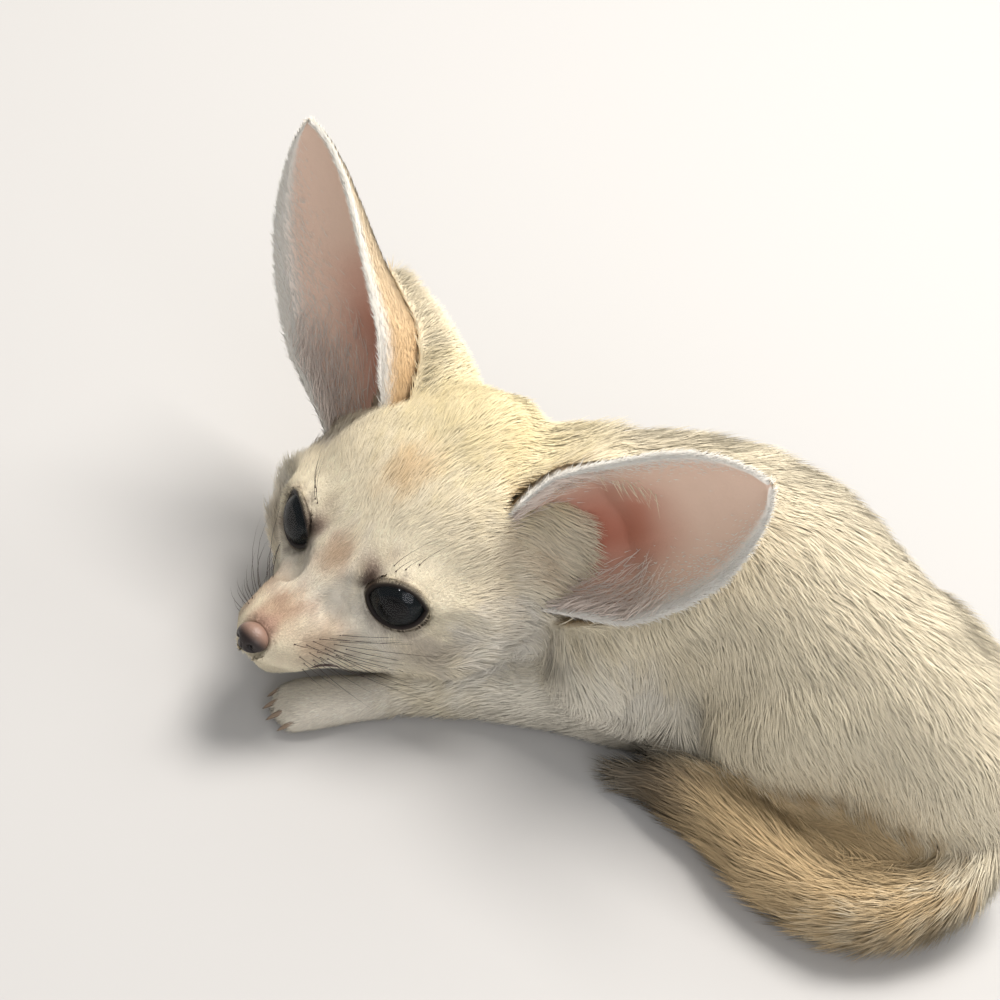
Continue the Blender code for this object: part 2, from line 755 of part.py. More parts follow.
def make_body(done, ear_rooms):
    """Every node behind the head: the far lengths of limbs and tail first, then the trunk round them."""
    nodes = {}

    def keep(name, thing):
        """Holds the thing under its name, cut back from every node before it but its own kind."""
        kind = name.split("_")[0]
        others = [node for other, node in nodes.items() if not other.startswith(kind)]
        thing.name = name
        nodes[name] = clear_of(thing, [*done, *others])

    for name, piece in zip(("tail_root", "tail_middle", "tail_tip"), tail_pieces()):
        keep(name, piece)
    for side, ends in FOREPAWS.items():
        keep(f"forepaw_{side}", make_paw(f"forepaw_{side}", ends, 7.4, 5.2, 5.6))
    for side, ends in HIND_FEET.items():
        keep(f"hind_foot_{side}", make_paw(f"hind_foot_{side}", ends, 6.6, 5.0, 6.4))
    for side, rows in FOREARMS.items():
        keep(f"forearm_{side}", above_floor(loft("forearm", rows, steps=1, around=12)))
    for side, rows in SHANKS.items():
        keep(f"shank_{side}", above_floor(loft("shank", rows, steps=1, around=10)))
    body = combine(trunk(), ear_rooms, "DIFFERENCE")
    clear_of(body, [*done, *nodes.values()])
    for side, rows in THIGHS.items():
        region = loft("region", rows, 2, 12, caps=(0.6, 0.6), grow=LIMB_MARGIN)
        nodes[f"thigh_{side}"] = taken_from(body, "thigh", region)
    nodes["neck"] = taken_from(body, "neck", half_space("front", NECK_CUT, NECK_HEADING, True))
    nodes["chest"] = taken_from(body, "chest", half_space("front", WAIST_CUT, WAIST_HEADING, True))
    nodes["belly"] = body
    return nodes


NODE_FINISH = {
    "nose": "nose_leather",
    "eye_left": "eye",
    "eye_right": "eye",
    "tail_tip": "dark_coat",
    "tail_root": "tan_coat",
    "tail_middle": "tan_coat",
}


def main():
    clear_scene()
    for name in ("workbench", COLLECTION):
        made = bpy.data.collections.new(name)
        bpy.context.scene.collection.children.link(made)
    parts, head_whole, ear_rooms = make_head()
    ears = [parts[name] for name in EARS]
    parts |= make_body([head_whole, *ears], ear_rooms)
    discard([head_whole, *ear_rooms])
    corners = np.array([v.co for thing in parts.values() for v in thing.data.vertices])
    middle = (corners.min(0) + corners.max(0)) / 2
    to_middle = Matrix.Translation((-middle[0], -middle[1], 0))
    for name, thing in parts.items():
        thing.name = name
        thing.data.name = name
        thing.data.transform(to_middle)
        thing.data.materials.clear()
        thing.data.materials.append(finish(NODE_FINISH.get(name, "cream_coat")))
        bpy.data.collections["workbench"].objects.unlink(thing)
        bpy.data.collections[COLLECTION].objects.link(thing)
        thing.data.shade_smooth()
    left_over = list(bpy.data.collections["workbench"].objects)
    discard(left_over)
    bpy.data.collections.remove(bpy.data.collections["workbench"])


if __name__ == "__main__":
    main()
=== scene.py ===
"""The looks of a fennec fox kit of about seven weeks, life size, resting on its belly.

Places and sizes are plan millimetres, the units of the part's own source: the origin lies on the
floor under the chin and +Z is up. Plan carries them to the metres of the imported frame. One skin
lies a coat's depth inside the solids, and tapered tufts grow out of it along the lie of the coat.
"""

import logging
import math
from dataclasses import dataclass, fields, replace
from enum import Enum

import bpy
import numpy as np
from mathutils import Matrix, Vector
from mathutils.bvhtree import BVHTree


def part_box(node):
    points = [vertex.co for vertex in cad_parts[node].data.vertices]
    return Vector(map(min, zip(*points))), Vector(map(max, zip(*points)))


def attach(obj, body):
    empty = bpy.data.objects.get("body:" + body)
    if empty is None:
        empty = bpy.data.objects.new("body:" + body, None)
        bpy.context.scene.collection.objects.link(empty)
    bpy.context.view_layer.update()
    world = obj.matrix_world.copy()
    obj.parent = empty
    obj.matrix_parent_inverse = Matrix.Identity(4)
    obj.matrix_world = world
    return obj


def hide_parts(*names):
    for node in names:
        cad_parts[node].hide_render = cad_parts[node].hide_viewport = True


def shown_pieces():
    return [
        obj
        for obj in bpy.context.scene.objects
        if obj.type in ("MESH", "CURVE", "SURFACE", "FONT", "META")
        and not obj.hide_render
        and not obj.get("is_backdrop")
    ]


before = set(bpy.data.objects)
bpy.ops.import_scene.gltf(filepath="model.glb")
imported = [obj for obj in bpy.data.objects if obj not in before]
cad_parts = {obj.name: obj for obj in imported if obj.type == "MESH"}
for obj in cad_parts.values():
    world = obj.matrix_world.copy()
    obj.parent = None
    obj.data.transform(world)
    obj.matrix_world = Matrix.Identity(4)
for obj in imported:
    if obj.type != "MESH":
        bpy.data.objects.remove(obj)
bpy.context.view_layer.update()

Array = np.ndarray
Form = tuple[Array, list[Array]]
Place = tuple[float, float, float]
Table = tuple[tuple[float, ...], ...]
MM = 0.001
UP = (0.0, 0.0, 1.0)
# The eyeballs: their radius, the foremost point of the left one in the head, and where they look.
EYE_RADIUS = 8.2
EYE_FRONT = (1.8, 17.1, 0.4)
EYE_TURN = math.radians(25.0)
EYE_LIFT = math.radians(6.0)
# The head's own origin in the plan, and the way that the muzzle points.
HEAD_ORIGIN = (8.6, 14.2, 34.0)
HEAD_HEADING = math.radians(236.4)
SIDES = {"left": 1, "right": -1}


# Frames


def unit(vectors: Array) -> Array:
    """Vectors scaled to length one.

    Args:
        vectors: One vector, or one a row.

    Returns:
        Each vector over its own length.
    """
    vectors = np.asarray(vectors, float)
    return vectors / np.maximum(np.linalg.norm(vectors, axis=-1, keepdims=True), 1e-9)


@dataclass(frozen=True)
class Head:
    """The head's own axes: +X along the muzzle, +Y to the animal's left, +Z up."""

    origin: Place = HEAD_ORIGIN
    heading: float = HEAD_HEADING

    def axes(self) -> Array:
        """The head's three axes in the plan.

        Returns:
            Forward, left and up as the rows of a matrix.
        """
        c, s = math.cos(self.heading), math.sin(self.heading)
        return np.array(((c, s, 0.0), (-s, c, 0.0), (0.0, 0.0, 1.0)))

    def to_plan(self, points: Array) -> Array:
        """Places given in the head's axes.

        Args:
            points: Places in the head, a row each.

        Returns:
            The same places in the plan.
        """
        return np.asarray(points, float) @ self.axes() + np.array(self.origin)

    def from_plan(self, points: Array) -> Array:
        """Plan places seen from the head.

        Args:
            points: Places in the plan, a row each.

        Returns:
            The same places in the head's axes.
        """
        return (np.asarray(points, float) - np.array(self.origin)) @ self.axes().T

    def eye(self, side: int) -> tuple[Array, Array]:
        """An eyeball's centre, and its gaze, outward and upward directions.

        Args:
            side: 1 for the left eye and -1 for the right.

        Returns:
            The centre in the plan, and the three directions as rows.
        """
        turn, level = EYE_TURN, math.cos(EYE_LIFT)
        gaze = np.array((math.cos(turn) * level, side * math.sin(turn) * level, math.sin(EYE_LIFT)))
        outward = np.array((-math.sin(turn), side * math.cos(turn), 0.0))
        upward = np.cross(gaze, outward) * side
        front = np.array((EYE_FRONT[0], side * EYE_FRONT[1], EYE_FRONT[2]))
        return self.to_plan(front - gaze * EYE_RADIUS), np.stack((gaze, outward, upward)) @ self.axes()


HEAD = Head()


class Plan:
    """Carries plan millimetres to the frame's metres, from where the left eyeball lies in each."""

    def __init__(self) -> None:
        """Measures the shift between the plan and the frame."""
        low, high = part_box("eye_left")
        self.shift = HEAD.eye(1)[0] - np.array((low + high) / 2) / MM

    def to_row(self, points: Array) -> Array:
        """Places in the frame.

        Args:
            points: Plan places in millimetres, a row each.

        Returns:
            The same places in the frame, in metres.
        """
        return (np.asarray(points, float) - self.shift) * MM

    def from_row(self, points: Array) -> Array:
        """Places in the plan.

        Args:
            points: Frame places in metres, a row each.

        Returns:
            The same places in plan millimetres.
        """
        return np.asarray(points, float) / MM + self.shift


PLAN = Plan()


# Colour


def linear(code: str) -> Array:
    """A colour written as six hexadecimal digits, in linear light.

    Args:
        code: Red, green and blue in sRGB.

    Returns:
        Three numbers from 0 to 1.
    """
    value = np.array([int(code[i : i + 2], 16) for i in (0, 2, 4)]) / 255
    return np.where(value <= 0.04045, value / 12.92, ((value + 0.055) / 1.055) ** 2.4)


def smooth(value: Array) -> Array:
    """An S-shaped step.

    Args:
        value: Any numbers.

    Returns:
        0 where value is below 0, 1 where it is above 1, and smooth between.
    """
    value = np.clip(value, 0.0, 1.0)
    return value * value * (3 - 2 * value)


# Brings the mean of the sines up to a range of about -1 to 1.
NOISE_GAIN = 1.8


def noise(points: Array, size: float, seed: int) -> Array:
    """Smooth noise: the mean of six sines, each along a random direction with its own phase.

    Args:
        points: Places, a row each.
        size: The usual distance between two peaks.
        seed: Picks the directions.

    Returns:
        One number for each place, from about -1 to 1.
    """
    dice = np.random.default_rng(seed)
    waves, full = 6, 2 * math.pi
    ways = unit(dice.normal(size=(waves, 3))) * dice.uniform(0.7, 1.5, (waves, 1)) * 2 * math.pi / size
    return np.sin(points @ ways.T + dice.uniform(0, full, waves)).mean(1) * NOISE_GAIN


# How far noise moves a marking's edge, as a share of its radius.
EDGE_RAGGED = 0.12


def mirrored(local: Array) -> Array:
    """Places on the head's right carried over to its left.

    Args:
        local: Places in the head, a row each.

    Returns:
        The places, with no y below zero.
    """
    return local * (1, 0, 1) + np.abs(local) * (0, 1, 0)


@dataclass(frozen=True)
class Patch:
    """One marking: an egg-shaped patch of colour with a soft, uneven edge."""

    colour: str
    centre: Place
    radii: Place
    strength: float = 1.0
    edge: float = 0.6
    on_head: bool = True
    both_sides: bool = False

    def weight(self, points: Array) -> Array:
        """How much of the patch there is at each place.

        Args:
            points: Plan places, a row each.

        Returns:
            From 0 outside to the patch's strength in its middle.
        """
        local = HEAD.from_plan(points) if self.on_head else points
        if self.both_sides:
            local = mirrored(local)
        reach = np.linalg.norm((local - self.centre) / self.radii, axis=1)
        return self.strength * smooth((1 - reach + EDGE_RAGGED * noise(points, 5.0, 3)) / self.edge)


COAT_CREAM = "f0e4c9"
# The coat's faint mottle: the distance between its peaks, its strength and its seed.
MOTTLE = ((4.0, 0.05, 8), (1.4, 0.03, 9))
PATCHES = (
    # The flanks and haunches are a little greyer than the back, the belly and chest whiter.
    Patch("e4d9bf", (120, 5, 40), (48, 40, 34), 0.7, 0.8, False),
    Patch("f3ecdc", (70, 15, 12), (44, 30, 24), 0.85, 0.6, False),
    # Low on the haunch, by the floor and the tail, the coat is darker: painted shade under the haunch.
    Patch("cdbf9f", (128, -4, 12), (34, 26, 16), 0.6, 0.8, False),
    # Crown and nape are a warmer yellow, the face and cheeks nearly white.
    Patch("ecdcae", (-38, 0, 22), (34, 34, 26), 0.85, 0.8),
    Patch("f2eadb", (-4, 0, -8), (30, 30, 20), 0.9, 0.6),
    Patch("f5efe3", (-22, 27, -10), (22, 14, 16), 0.9, 0.6, both_sides=True),
    Patch("dcbd92", (-12, 0, 20), (13, 9, 9), 0.75, 0.9),
    # Bridge, muzzle, its sides and the low cheeks are darker: partly their own tan, partly painted shade of a
    # face turned from the light.
    Patch("b39274", (4, 0, 4), (12, 7, 7), 0.75, 0.9),
    Patch("ae8a70", (18, 0, -5), (14, 8, 6.5), 0.8, 0.8),
    Patch("ba9d83", (14, 8, -9), (13, 8, 7), 0.75, 0.8, both_sides=True),
    Patch("bbae9b", (-2, 24, -10), (18, 10, 9), 0.75, 0.9, both_sides=True),
    # A brown streak runs from the inner corner of each eye, and dark hairs stand over the eye.
    Patch("86695a", (1.6, 8.6, 5.6), (6.2, 5.2, 5.8), 0.7, 0.95, both_sides=True),
    Patch("46342e", (3.0, 9.6, 3.6), (4.4, 3.6, 4.4), 0.9, 0.9, both_sides=True),
    Patch("75604f", (1.0, 16.5, 0.4), (8.8, 8.8, 7.8), 0.6, 0.3, both_sides=True),
    Patch("a08a76", (-1.5, 10.6, 9.0), (4.2, 4.2, 2.4), 0.45, 0.9, both_sides=True),
    Patch("b89484", (24.5, 0, -5.5), (6.5, 5.5, 5.0), 0.75, 0.8),
    Patch("a38e78", (8.0, 10.0, -13.5), (7.0, 5.0, 1.6), 0.4, 0.8, both_sides=True),
    # The tail is tawny with a dark patch over its gland and a brown tip.
    Patch("cfb387", (118, -14, 10), (52, 22, 20), 0.9, 0.4, False),
    Patch("63584b", (88, -1, 8), (27, 18, 17), 0.85, 0.7, False),
    Patch("8d7759", (155, -9, 22), (7, 7, 7), 0.7, 0.8, False),
    # Forepaws fade to white. The left hind foot, tucked under the haunch, is greyer: painted shade under the
    # haunch.
    Patch("f1e9db", (12, 2, 4), (26, 20, 14), 0.8, 0.5, False),
    Patch("ded0b2", (122, 2, 2), (22, 14, 9), 0.5, 0.6, False),
)


def markings(points: Array) -> Array:
    """The coat's colour: each patch laid over the ones before it, with a faint mottle.

    Args:
        points: Plan places, a row each.

    Returns:
        Linear colours, a row each.
    """
    colour = np.tile(linear(COAT_CREAM), (len(points), 1))
    for patch in PATCHES:
        share = patch.weight(points)[:, None]
        colour = colour * (1 - share) + linear(patch.colour) * share
    mottle = sum(strength * noise(points, size, seed) for size, strength, seed in MOTTLE)
    return colour * (1 + mottle)[:, None]


# Meshes


def new_piece(name: str, points: Array, faces: list[Array], finish: "Finish") -> bpy.types.Object:
    """Puts plan points and faces into the scene as a smooth mesh object at the origin.

    Args:
        name: The piece's name.
        points: Plan places, a row each.
        faces: Arrays of corner numbers, each array with faces of one kind.
        finish: What its surface is.

    Returns:
        The new object.
    """
    mesh = bpy.data.meshes.new(name)
    corners = np.concatenate([group.ravel() for group in faces]).astype(np.int32)
    sizes = np.concatenate([np.full(len(group), group.shape[1]) for group in faces])
    mesh.vertices.add(len(points))
    mesh.vertices.foreach_set("co", PLAN.to_row(points).astype(np.float32).ravel())
    mesh.loops.add(len(corners))
    mesh.loops.foreach_set("vertex_index", corners)
    mesh.polygons.add(len(sizes))
    mesh.polygons.foreach_set("loop_start", np.concatenate(((0,), np.cumsum(sizes)[:-1])).astype(np.int32))
    mesh.update(calc_edges=True)
    mesh.shade_smooth()
    mesh.materials.append(finish.make())
    piece = bpy.data.objects.new(name, mesh)
    bpy.context.scene.collection.objects.link(piece)
    return piece


def paint(piece: bpy.types.Object, colours: Array) -> None:
    """Stores a colour for each vertex under the name that the finishes read.

    Args:
        piece: The mesh object.
        colours: Linear colours, one a vertex.
    """
    layer = piece.data.color_attributes.new("Colour", "FLOAT_COLOR", "POINT")
    full = np.hstack((np.clip(colours, 0, 1), np.ones((len(colours), 1))))
    layer.data.foreach_set("color", full.astype(np.float32).ravel())


def ring_faces(rows: int, around: int, closed_run: bool = False) -> Array:
    """Quads between the rings of a tube.

    Args:
        rows: How many rings there are.
        around: How many points a ring has.
        closed_run: Whether the last ring joins the first.

    Returns:
        Corner numbers, a quad a row.
    """
    i = np.arange(rows if closed_run else rows - 1)[:, None]
    j = np.arange(around)[None, :]
    after, beside = (i + 1) % rows, (j + 1) % around
    quads = (i * around + j, i * around + beside, after * around + beside, after * around + j)
    return np.stack(np.broadcast_arrays(*quads), -1).reshape(-1, 4)


def fan(ring: Array, pole: int) -> Array:
    """Triangles that close a ring with one point.

    Args:
        ring: The ring's point numbers, counter-clockwise seen from outside.
        pole: The closing point's number.

    Returns:
        Corner numbers, a triangle a row.
    """
    return np.stack((ring, np.roll(ring, -1), np.full(len(ring), pole)), 1)


def capped(rings: Array, first: Array, last: Array) -> Form:
    """Joins rings into a tube and closes each end with a point.

    Args:
        rings: Places, by ring and by turn.
        first: The point before the first ring.
        last: The point after the last ring.

    Returns:
        Points and faces.
    """
    rows, around = rings.shape[:2]
    count = rows * around
    faces = [
        ring_faces(rows, around),
        fan(np.arange(around)[::-1], count),
        fan(np.arange(around) + count - around, count + 1),
    ]
    return np.vstack((rings.reshape(-1, 3), first, last)), faces


def circle(around: int) -> Array:
    """Even turns round a ring, from 0.

    Args:
        around: How many.

    Returns:
        Angles.
    """
    return np.arange(around) * 2 * math.pi / around


def globe(centre: Array, axes: Array, radius: Array, slopes: Array, around: int) -> Form:
    """A closed form turned about an axis: at slope a from the axis the surface lies radius(a) away.

    Args:
        centre: The plan place of its middle.
        axes: The turning axis and two directions across it, as rows.
        radius: Distance from the middle for each slope.
        slopes: Angles from the axis, from near 0 to near pi.
        around: Points in a ring.

    Returns:
        The points, and the faces.
    """
    turn = circle(around)
    ahead = (radius * np.cos(slopes))[:, None, None] * axes[0]
    across = (radius * np.sin(slopes))[:, None, None]
    ring = np.cos(turn)[None, :, None] * axes[1] + np.sin(turn)[None, :, None] * axes[2]
    points, faces = capped(ahead + across * ring, axes[0] * radius[0], -axes[0] * radius[-1])
    return centre + points, faces


def tube(centres: Array, radius: Array, around: int) -> Form:
    """A closed tube along a line of centres.

    Args:
        centres: Plan places.
        radius: A radius for each.
        around: Points in a ring.

    Returns:
        Points and faces.
    """
    ahead = unit(np.gradient(centres, axis=0))
    side = unit(np.cross(ahead, UP))
    lift = np.cross(side, ahead)
    turn = circle(around)
    ring = np.cos(turn)[None, :, None] * side[:, None] + np.sin(turn)[None, :, None] * lift[:, None]
    return capped(centres[:, None] + radius[:, None, None] * ring, centres[0], centres[-1])


def outward(points: Array, faces: list[Array]) -> list[Array]:
    """Turns every face round where the closed form they make is inside out.

    Args:
        points: The form's points.
        faces: Its faces.

    Returns:
        The faces, seen counter-clockwise from outside.
    """
    middle = points.mean(0)
    volume = 0.0
    for group in faces:
        for k in range(1, group.shape[1] - 1):
            a, b, c = (points[group[:, n]] - middle for n in (0, k, k + 1))
            volume += np.einsum("ij,ij->", a, np.cross(b, c))
    return faces if volume > 0 else [group[:, ::-1] for group in faces]


def closed_piece(name: str, form: Form, finish: "Finish") -> bpy.types.Object:
    """A closed form as a piece, its faces turned outward.

    Args:
        name: The piece's name.
        form: Plan places and faces.
        finish: What its surface is.

    Returns:
        The new object.
    """
    points, faces = form
    return new_piece(name, points, outward(points, faces), finish)


@dataclass
class Hairs:
    """Where and how strands grow, one a row: a direction, a bend, a length, a root's width and the
    direction that its flat side faces."""

    roots: Array
    ways: Array
    bends: Array
    lengths: Array
    widths: Array
    facing: Array

    def picked(self, rows: Array) -> "Hairs":
        """Some of the hairs.

        Args:
            rows: Their numbers.

        Returns:
            Those hairs.
        """
        return Hairs(*(getattr(self, field.name)[rows] for field in fields(self)))


@dataclass(frozen=True)
class Strands:
    """The form of many closed tapered strands: tufts, whiskers, claws.

    A strand's spine leaves its root along a first direction and bends: the place at share t is
    root + length * (t * direction + t * t * bend). Its rings are flat polygons that narrow to a tip.
    """

    rings: Table
    sides: int = 3
    flatness: float = 0.5
    roundness: float = 0.55

    def triangles(self) -> int:
        """How many triangles a strand has.

        Returns:
            Those of its walls, its tip and its foot.
        """
        return 2 * self.sides * (len(self.rings) - 1) + self.sides + self.sides - 2

    def build(self, hairs: Hairs) -> tuple[Array, list[Array], Array, Array]:
        """The points and faces of all strands.

        Args:
            hairs: Where and how they grow.

        Returns:
            Points, faces, each point's share of its strand's length, and the normals it is shaded by.
        """
        count, steps = len(hairs.roots), len(self.rings)
        shares, sizes = np.array(self.rings).T
        ways, facing = hairs.ways, hairs.facing
        across = unit(np.cross(ways, facing))
        high = np.cross(ways, across) * self.flatness
        turn = circle(self.sides) + math.pi / 2
        spine = hairs.lengths[:, None, None] * (
            shares[None, :, None] * ways[:, None] + shares[None, :, None] ** 2 * hairs.bends[:, None]
        )
        half = 0.5 * hairs.widths[:, None, None, None] * sizes[None, :, None, None]
        round_it = np.cos(turn)[None, None, :, None] * across[:, None, None]
        round_it = round_it + np.sin(turn)[None, None, :, None] * high[:, None, None]
        rings = (hairs.roots[:, None] + spine)[:, :, None] + half * round_it
        tips = hairs.roots + hairs.lengths[:, None] * (ways + hairs.bends)
        points = np.concatenate((rings.reshape(count, -1, 3), tips[:, None]), 1).reshape(-1, 3)
        each = steps * self.sides + 1
        first = (np.arange(count) * each)[:, None, None]
        groups = [fan(np.arange(self.sides) + (steps - 1) * self.sides, each - 1)]
        groups.append(np.arange(self.sides)[::-1][None])
        if steps > 1:
            groups.append(ring_faces(steps, self.sides))
        faces = [(first + group[None]).reshape(-1, group.shape[1]) for group in groups]
        share_of = np.append(np.repeat(shares, self.sides), 1.0)
        ring_way = np.broadcast_to(round_it, (count, steps, self.sides, 3)).reshape(count, -1, 3)
        shading = np.concatenate((ring_way * self.roundness + facing[:, None], facing[:, None]), 1)
        return points, faces, np.tile(share_of, count), unit(shading.reshape(-1, 3))


# Finishes


def add_node(tree: bpy.types.NodeTree, kind: str, settings: dict, links: dict) -> bpy.types.Node:
    """Adds a shader node with its settings and incoming links.

    Args:
        tree: The material's node tree.
        kind: The node's type.
        settings: Values by attribute name, or by input name.
        links: Output sockets by input name.

    Returns:
        The node.
    """
    node = tree.nodes.new(kind)
    for name, value in settings.items():
        if hasattr(node, name):
            setattr(node, name, value)
        else:
            node.inputs[name].default_value = value
    for name, source in links.items():
        tree.links.new(source, node.inputs[name])
    return node


@dataclass(frozen=True)
class Finish:
    """What one kind of surface gives the eye."""

    name: str
    roughness: float
    colour: str = ""
    specular: float = 0.5
    alpha: float = 1.0
    coat: float = 0.0
    ior: float = 1.45
    bump_size: float = 0.0
    bump_height: float = 0.0

    def make(self) -> bpy.types.Material:
        """The material, made once.

        Returns:
            A Principled material that reads the Colour attribute where it has no colour of its own.
        """
        found = bpy.data.materials.get(self.name)
        if found:
            return found
        material = bpy.data.materials.new(self.name)
        material.use_nodes = True
        tree = material.node_tree
        shader = tree.nodes["Principled BSDF"]
        values = {
            "Roughness": self.roughness,
            "Specular IOR Level": self.specular,
            "Alpha": self.alpha,
            "Coat Weight": self.coat,
            "Coat Roughness": 0.03,
            "IOR": self.ior,
        }
        for name, value in values.items():
            shader.inputs[name].default_value = value
        if self.colour:
            shader.inputs["Base Color"].default_value = (*linear(self.colour), 1.0)
        else:
            attribute = add_node(tree, "ShaderNodeAttribute", {"attribute_name": "Colour"}, {})
            tree.links.new(attribute.outputs["Color"], shader.inputs["Base Color"])
        if self.bump_size:
            tree.links.new(self.relief(tree), shader.inputs["Normal"])
        return material

    def relief(self, tree: bpy.types.NodeTree) -> bpy.types.NodeSocket:
        """Fine unevenness from noise in the object's own metres.

        Args:
            tree: The material's node tree.

        Returns:
            The bumped normal.
        """
        coordinates = add_node(tree, "ShaderNodeTexCoord", {}, {})
        grain = add_node(
            tree,
            "ShaderNodeTexNoise",
            {"Scale": 1 / (self.bump_size * MM), "Detail": 3.0, "Roughness": 0.6},
            {"Vector": coordinates.outputs["Object"]},
        )
        bump = add_node(
            tree,
            "ShaderNodeBump",
            {"Strength": 1.0, "Distance": self.bump_height * MM},
            {"Height": grain.outputs["Fac"]},
        )
        return bump.outputs["Normal"]


class Look(Enum):
    """The finishes, named for what the real thing is."""

    # Fur: matt, with a faint shine along the hairs.
    COAT = Finish("fennec_fur", 0.75, specular=0.25)
    # Skin under the fur: it shows only as the colour between hairs, which carries painted shade.
    UNDERCOAT = Finish("woolly_underfur", 0.95, specular=0.1, bump_size=0.5, bump_height=0.35)
    # Bare ear skin: thin, waxy, with a fine grain.
    EAR_SKIN = Finish("bare_ear_skin", 0.55, specular=0.35, bump_size=0.9, bump_height=0.12)
    # Moist nose leather: small pebbles and broken highlights.
    NOSE = Finish("nose_leather", 0.38, specular=0.5, bump_size=0.45, bump_height=0.12)
    # Lid rims and lips: dark, thin, slightly damp skin.
    LID = Finish("dark_lid_skin", 0.55, specular=0.3)
    LIP = Finish("dark_lip_skin", 0.5, colour="4a3733")
    # The eye: deep iris under a wet, clear cornea.
    IRIS = Finish("dark_iris", 0.5, specular=0.0, coat=0.5)
    CORNEA = Finish("clear_cornea", 0.02, colour="000000", specular=1.0, alpha=0.12, ior=1.376)
    WHISKER = Finish("dark_whisker", 0.5, colour="3b302a")
    CLAW = Finish("pale_claw", 0.3, colour="8d7a68")
    # Matt painted board.
    FLOOR = Finish("pale_studio_floor", 0.9, colour="c2c1c0", specular=0.2)


# The runs of the body


@dataclass(frozen=True)
class Run:
    """A length of the body: its middle line with radii, and the coat that grows along it."""

    name: str
    line: Table
    length: float
    width: float
    sag: float = 0.2


def on_head(*stations: Place) -> Table:
    """Stations along the middle of the head.

    Args:
        stations: How far forward, how high and how thick, in the head.

    Returns:
        The same stations in the plan.
    """
    placed = HEAD.to_plan([(x, 0.0, z) for x, z, _ in stations])
    return tuple((*place, radius) for place, (_, _, radius) in zip(placed.tolist(), stations))


RUNS = (
    Run(
        "head",
        on_head((26, -9, 6), (14, -11, 10), (0, -6, 15), (-17, -3, 25), (-34, -1, 26), (-50, 0, 21)),
        4.4,
        0.34,
    ),
    Run(
        "trunk",
        (
            (27, 46, 34, 19),
            (40, 46, 36, 21),
            (58, 44, 38, 25),
            (82, 41.5, 37, 31),
            (101, 36.5, 36, 33),
            (117, 26.5, 34.5, 31),
            (133, 17.5, 31.5, 28),
            (146, 9.5, 26, 22),
            (154, 6, 20, 15),
        ),
        8.6,
        0.42,
        0.45,
    ),
    Run(
        "haunch_left",
        ((100, 12, 40, 12), (120, 11, 31, 19), (140, 9, 24, 17), (152, 5, 20, 12)),
        8.0,
        0.42,
        0.6,
    ),
    Run(
        "haunch_right",
        ((105, 53, 30, 12), (124, 44, 28, 16), (138, 36, 30, 17), (148, 28, 32, 14)),
        8.0,
        0.42,
        0.5,
    ),
    Run("arm_left", ((66, 27, 44, 10), (75, 22, 30, 11), (82, 18.5, 14, 10)), 6.5, 0.4),
    Run("arm_right", ((62, 60, 42, 10), (70, 64, 28, 10), (77, 66, 13, 9)), 6.5, 0.4),
    Run("forearm_left", ((84, 18, 10.5, 10), (66, 17, 9.5, 9), (46, 14, 8.5, 8), (30, 9, 7.5, 7)), 4.8, 0.36),
    Run("forearm_right", ((79, 66, 10, 9), (62, 66, 9, 8), (44, 63, 8, 7), (32, 59, 7.5, 6.5)), 4.8, 0.36),
    Run("forepaw_left", ((26, 7, 7, 6), (4.5, -4, 5, 6)), 2.2, 0.28),
    Run("forepaw_right", ((28, 57.5, 7, 6), (8, 49, 5, 6)), 2.2, 0.28),
    Run("shank_left", ((106, 6, 15, 9), (124, 4, 14, 9), (145, 6, 12, 7)), 4.8, 0.36),
    Run("shank_right", ((112, 51, 14, 9), (130, 48, 13, 8), (149, 41, 11, 7)), 4.8, 0.36),
    Run("hind_foot_left", ((148, 4.5, 6, 6), (116, 0.5, 5, 6)), 2.6, 0.3),
    Run("hind_foot_right", ((152, 40, 6, 6), (121, 57, 5, 6)), 2.6, 0.3),
    Run(
        "tail",
        (
            (159, 7, 19, 9),
            (159, -3, 14, 9.5),
            (150, -14, 10.5, 10),
            (134, -21.5, 10, 10.5),
            (118, -16.5, 10, 10.5),
            (106, -7, 10, 10),
            (95, -1.5, 9.5, 9),
            (86, 1, 7.5, 6),
        ),
        9.0,
        0.42,
        0.05,
    ),
)
RUN_NUMBER = {run.name: number for number, run in enumerate(RUNS)}
# How sharply one run, and one stretch of a run, gives way to the next.
BLEND_SHARPNESS = 9.0
STATION_BLEND = 6.0
# Round each eye the hairs part: how strongly, and how far from the eyeball.
PARTING = 1.6
PARTING_REACH = 4.5


@dataclass
class Ground:
    """What the body's runs say about a set of places."""

    run: Array
    share: Array
    angle: Array
    flow: Array
    out: Array
    length: Array
    width: Array


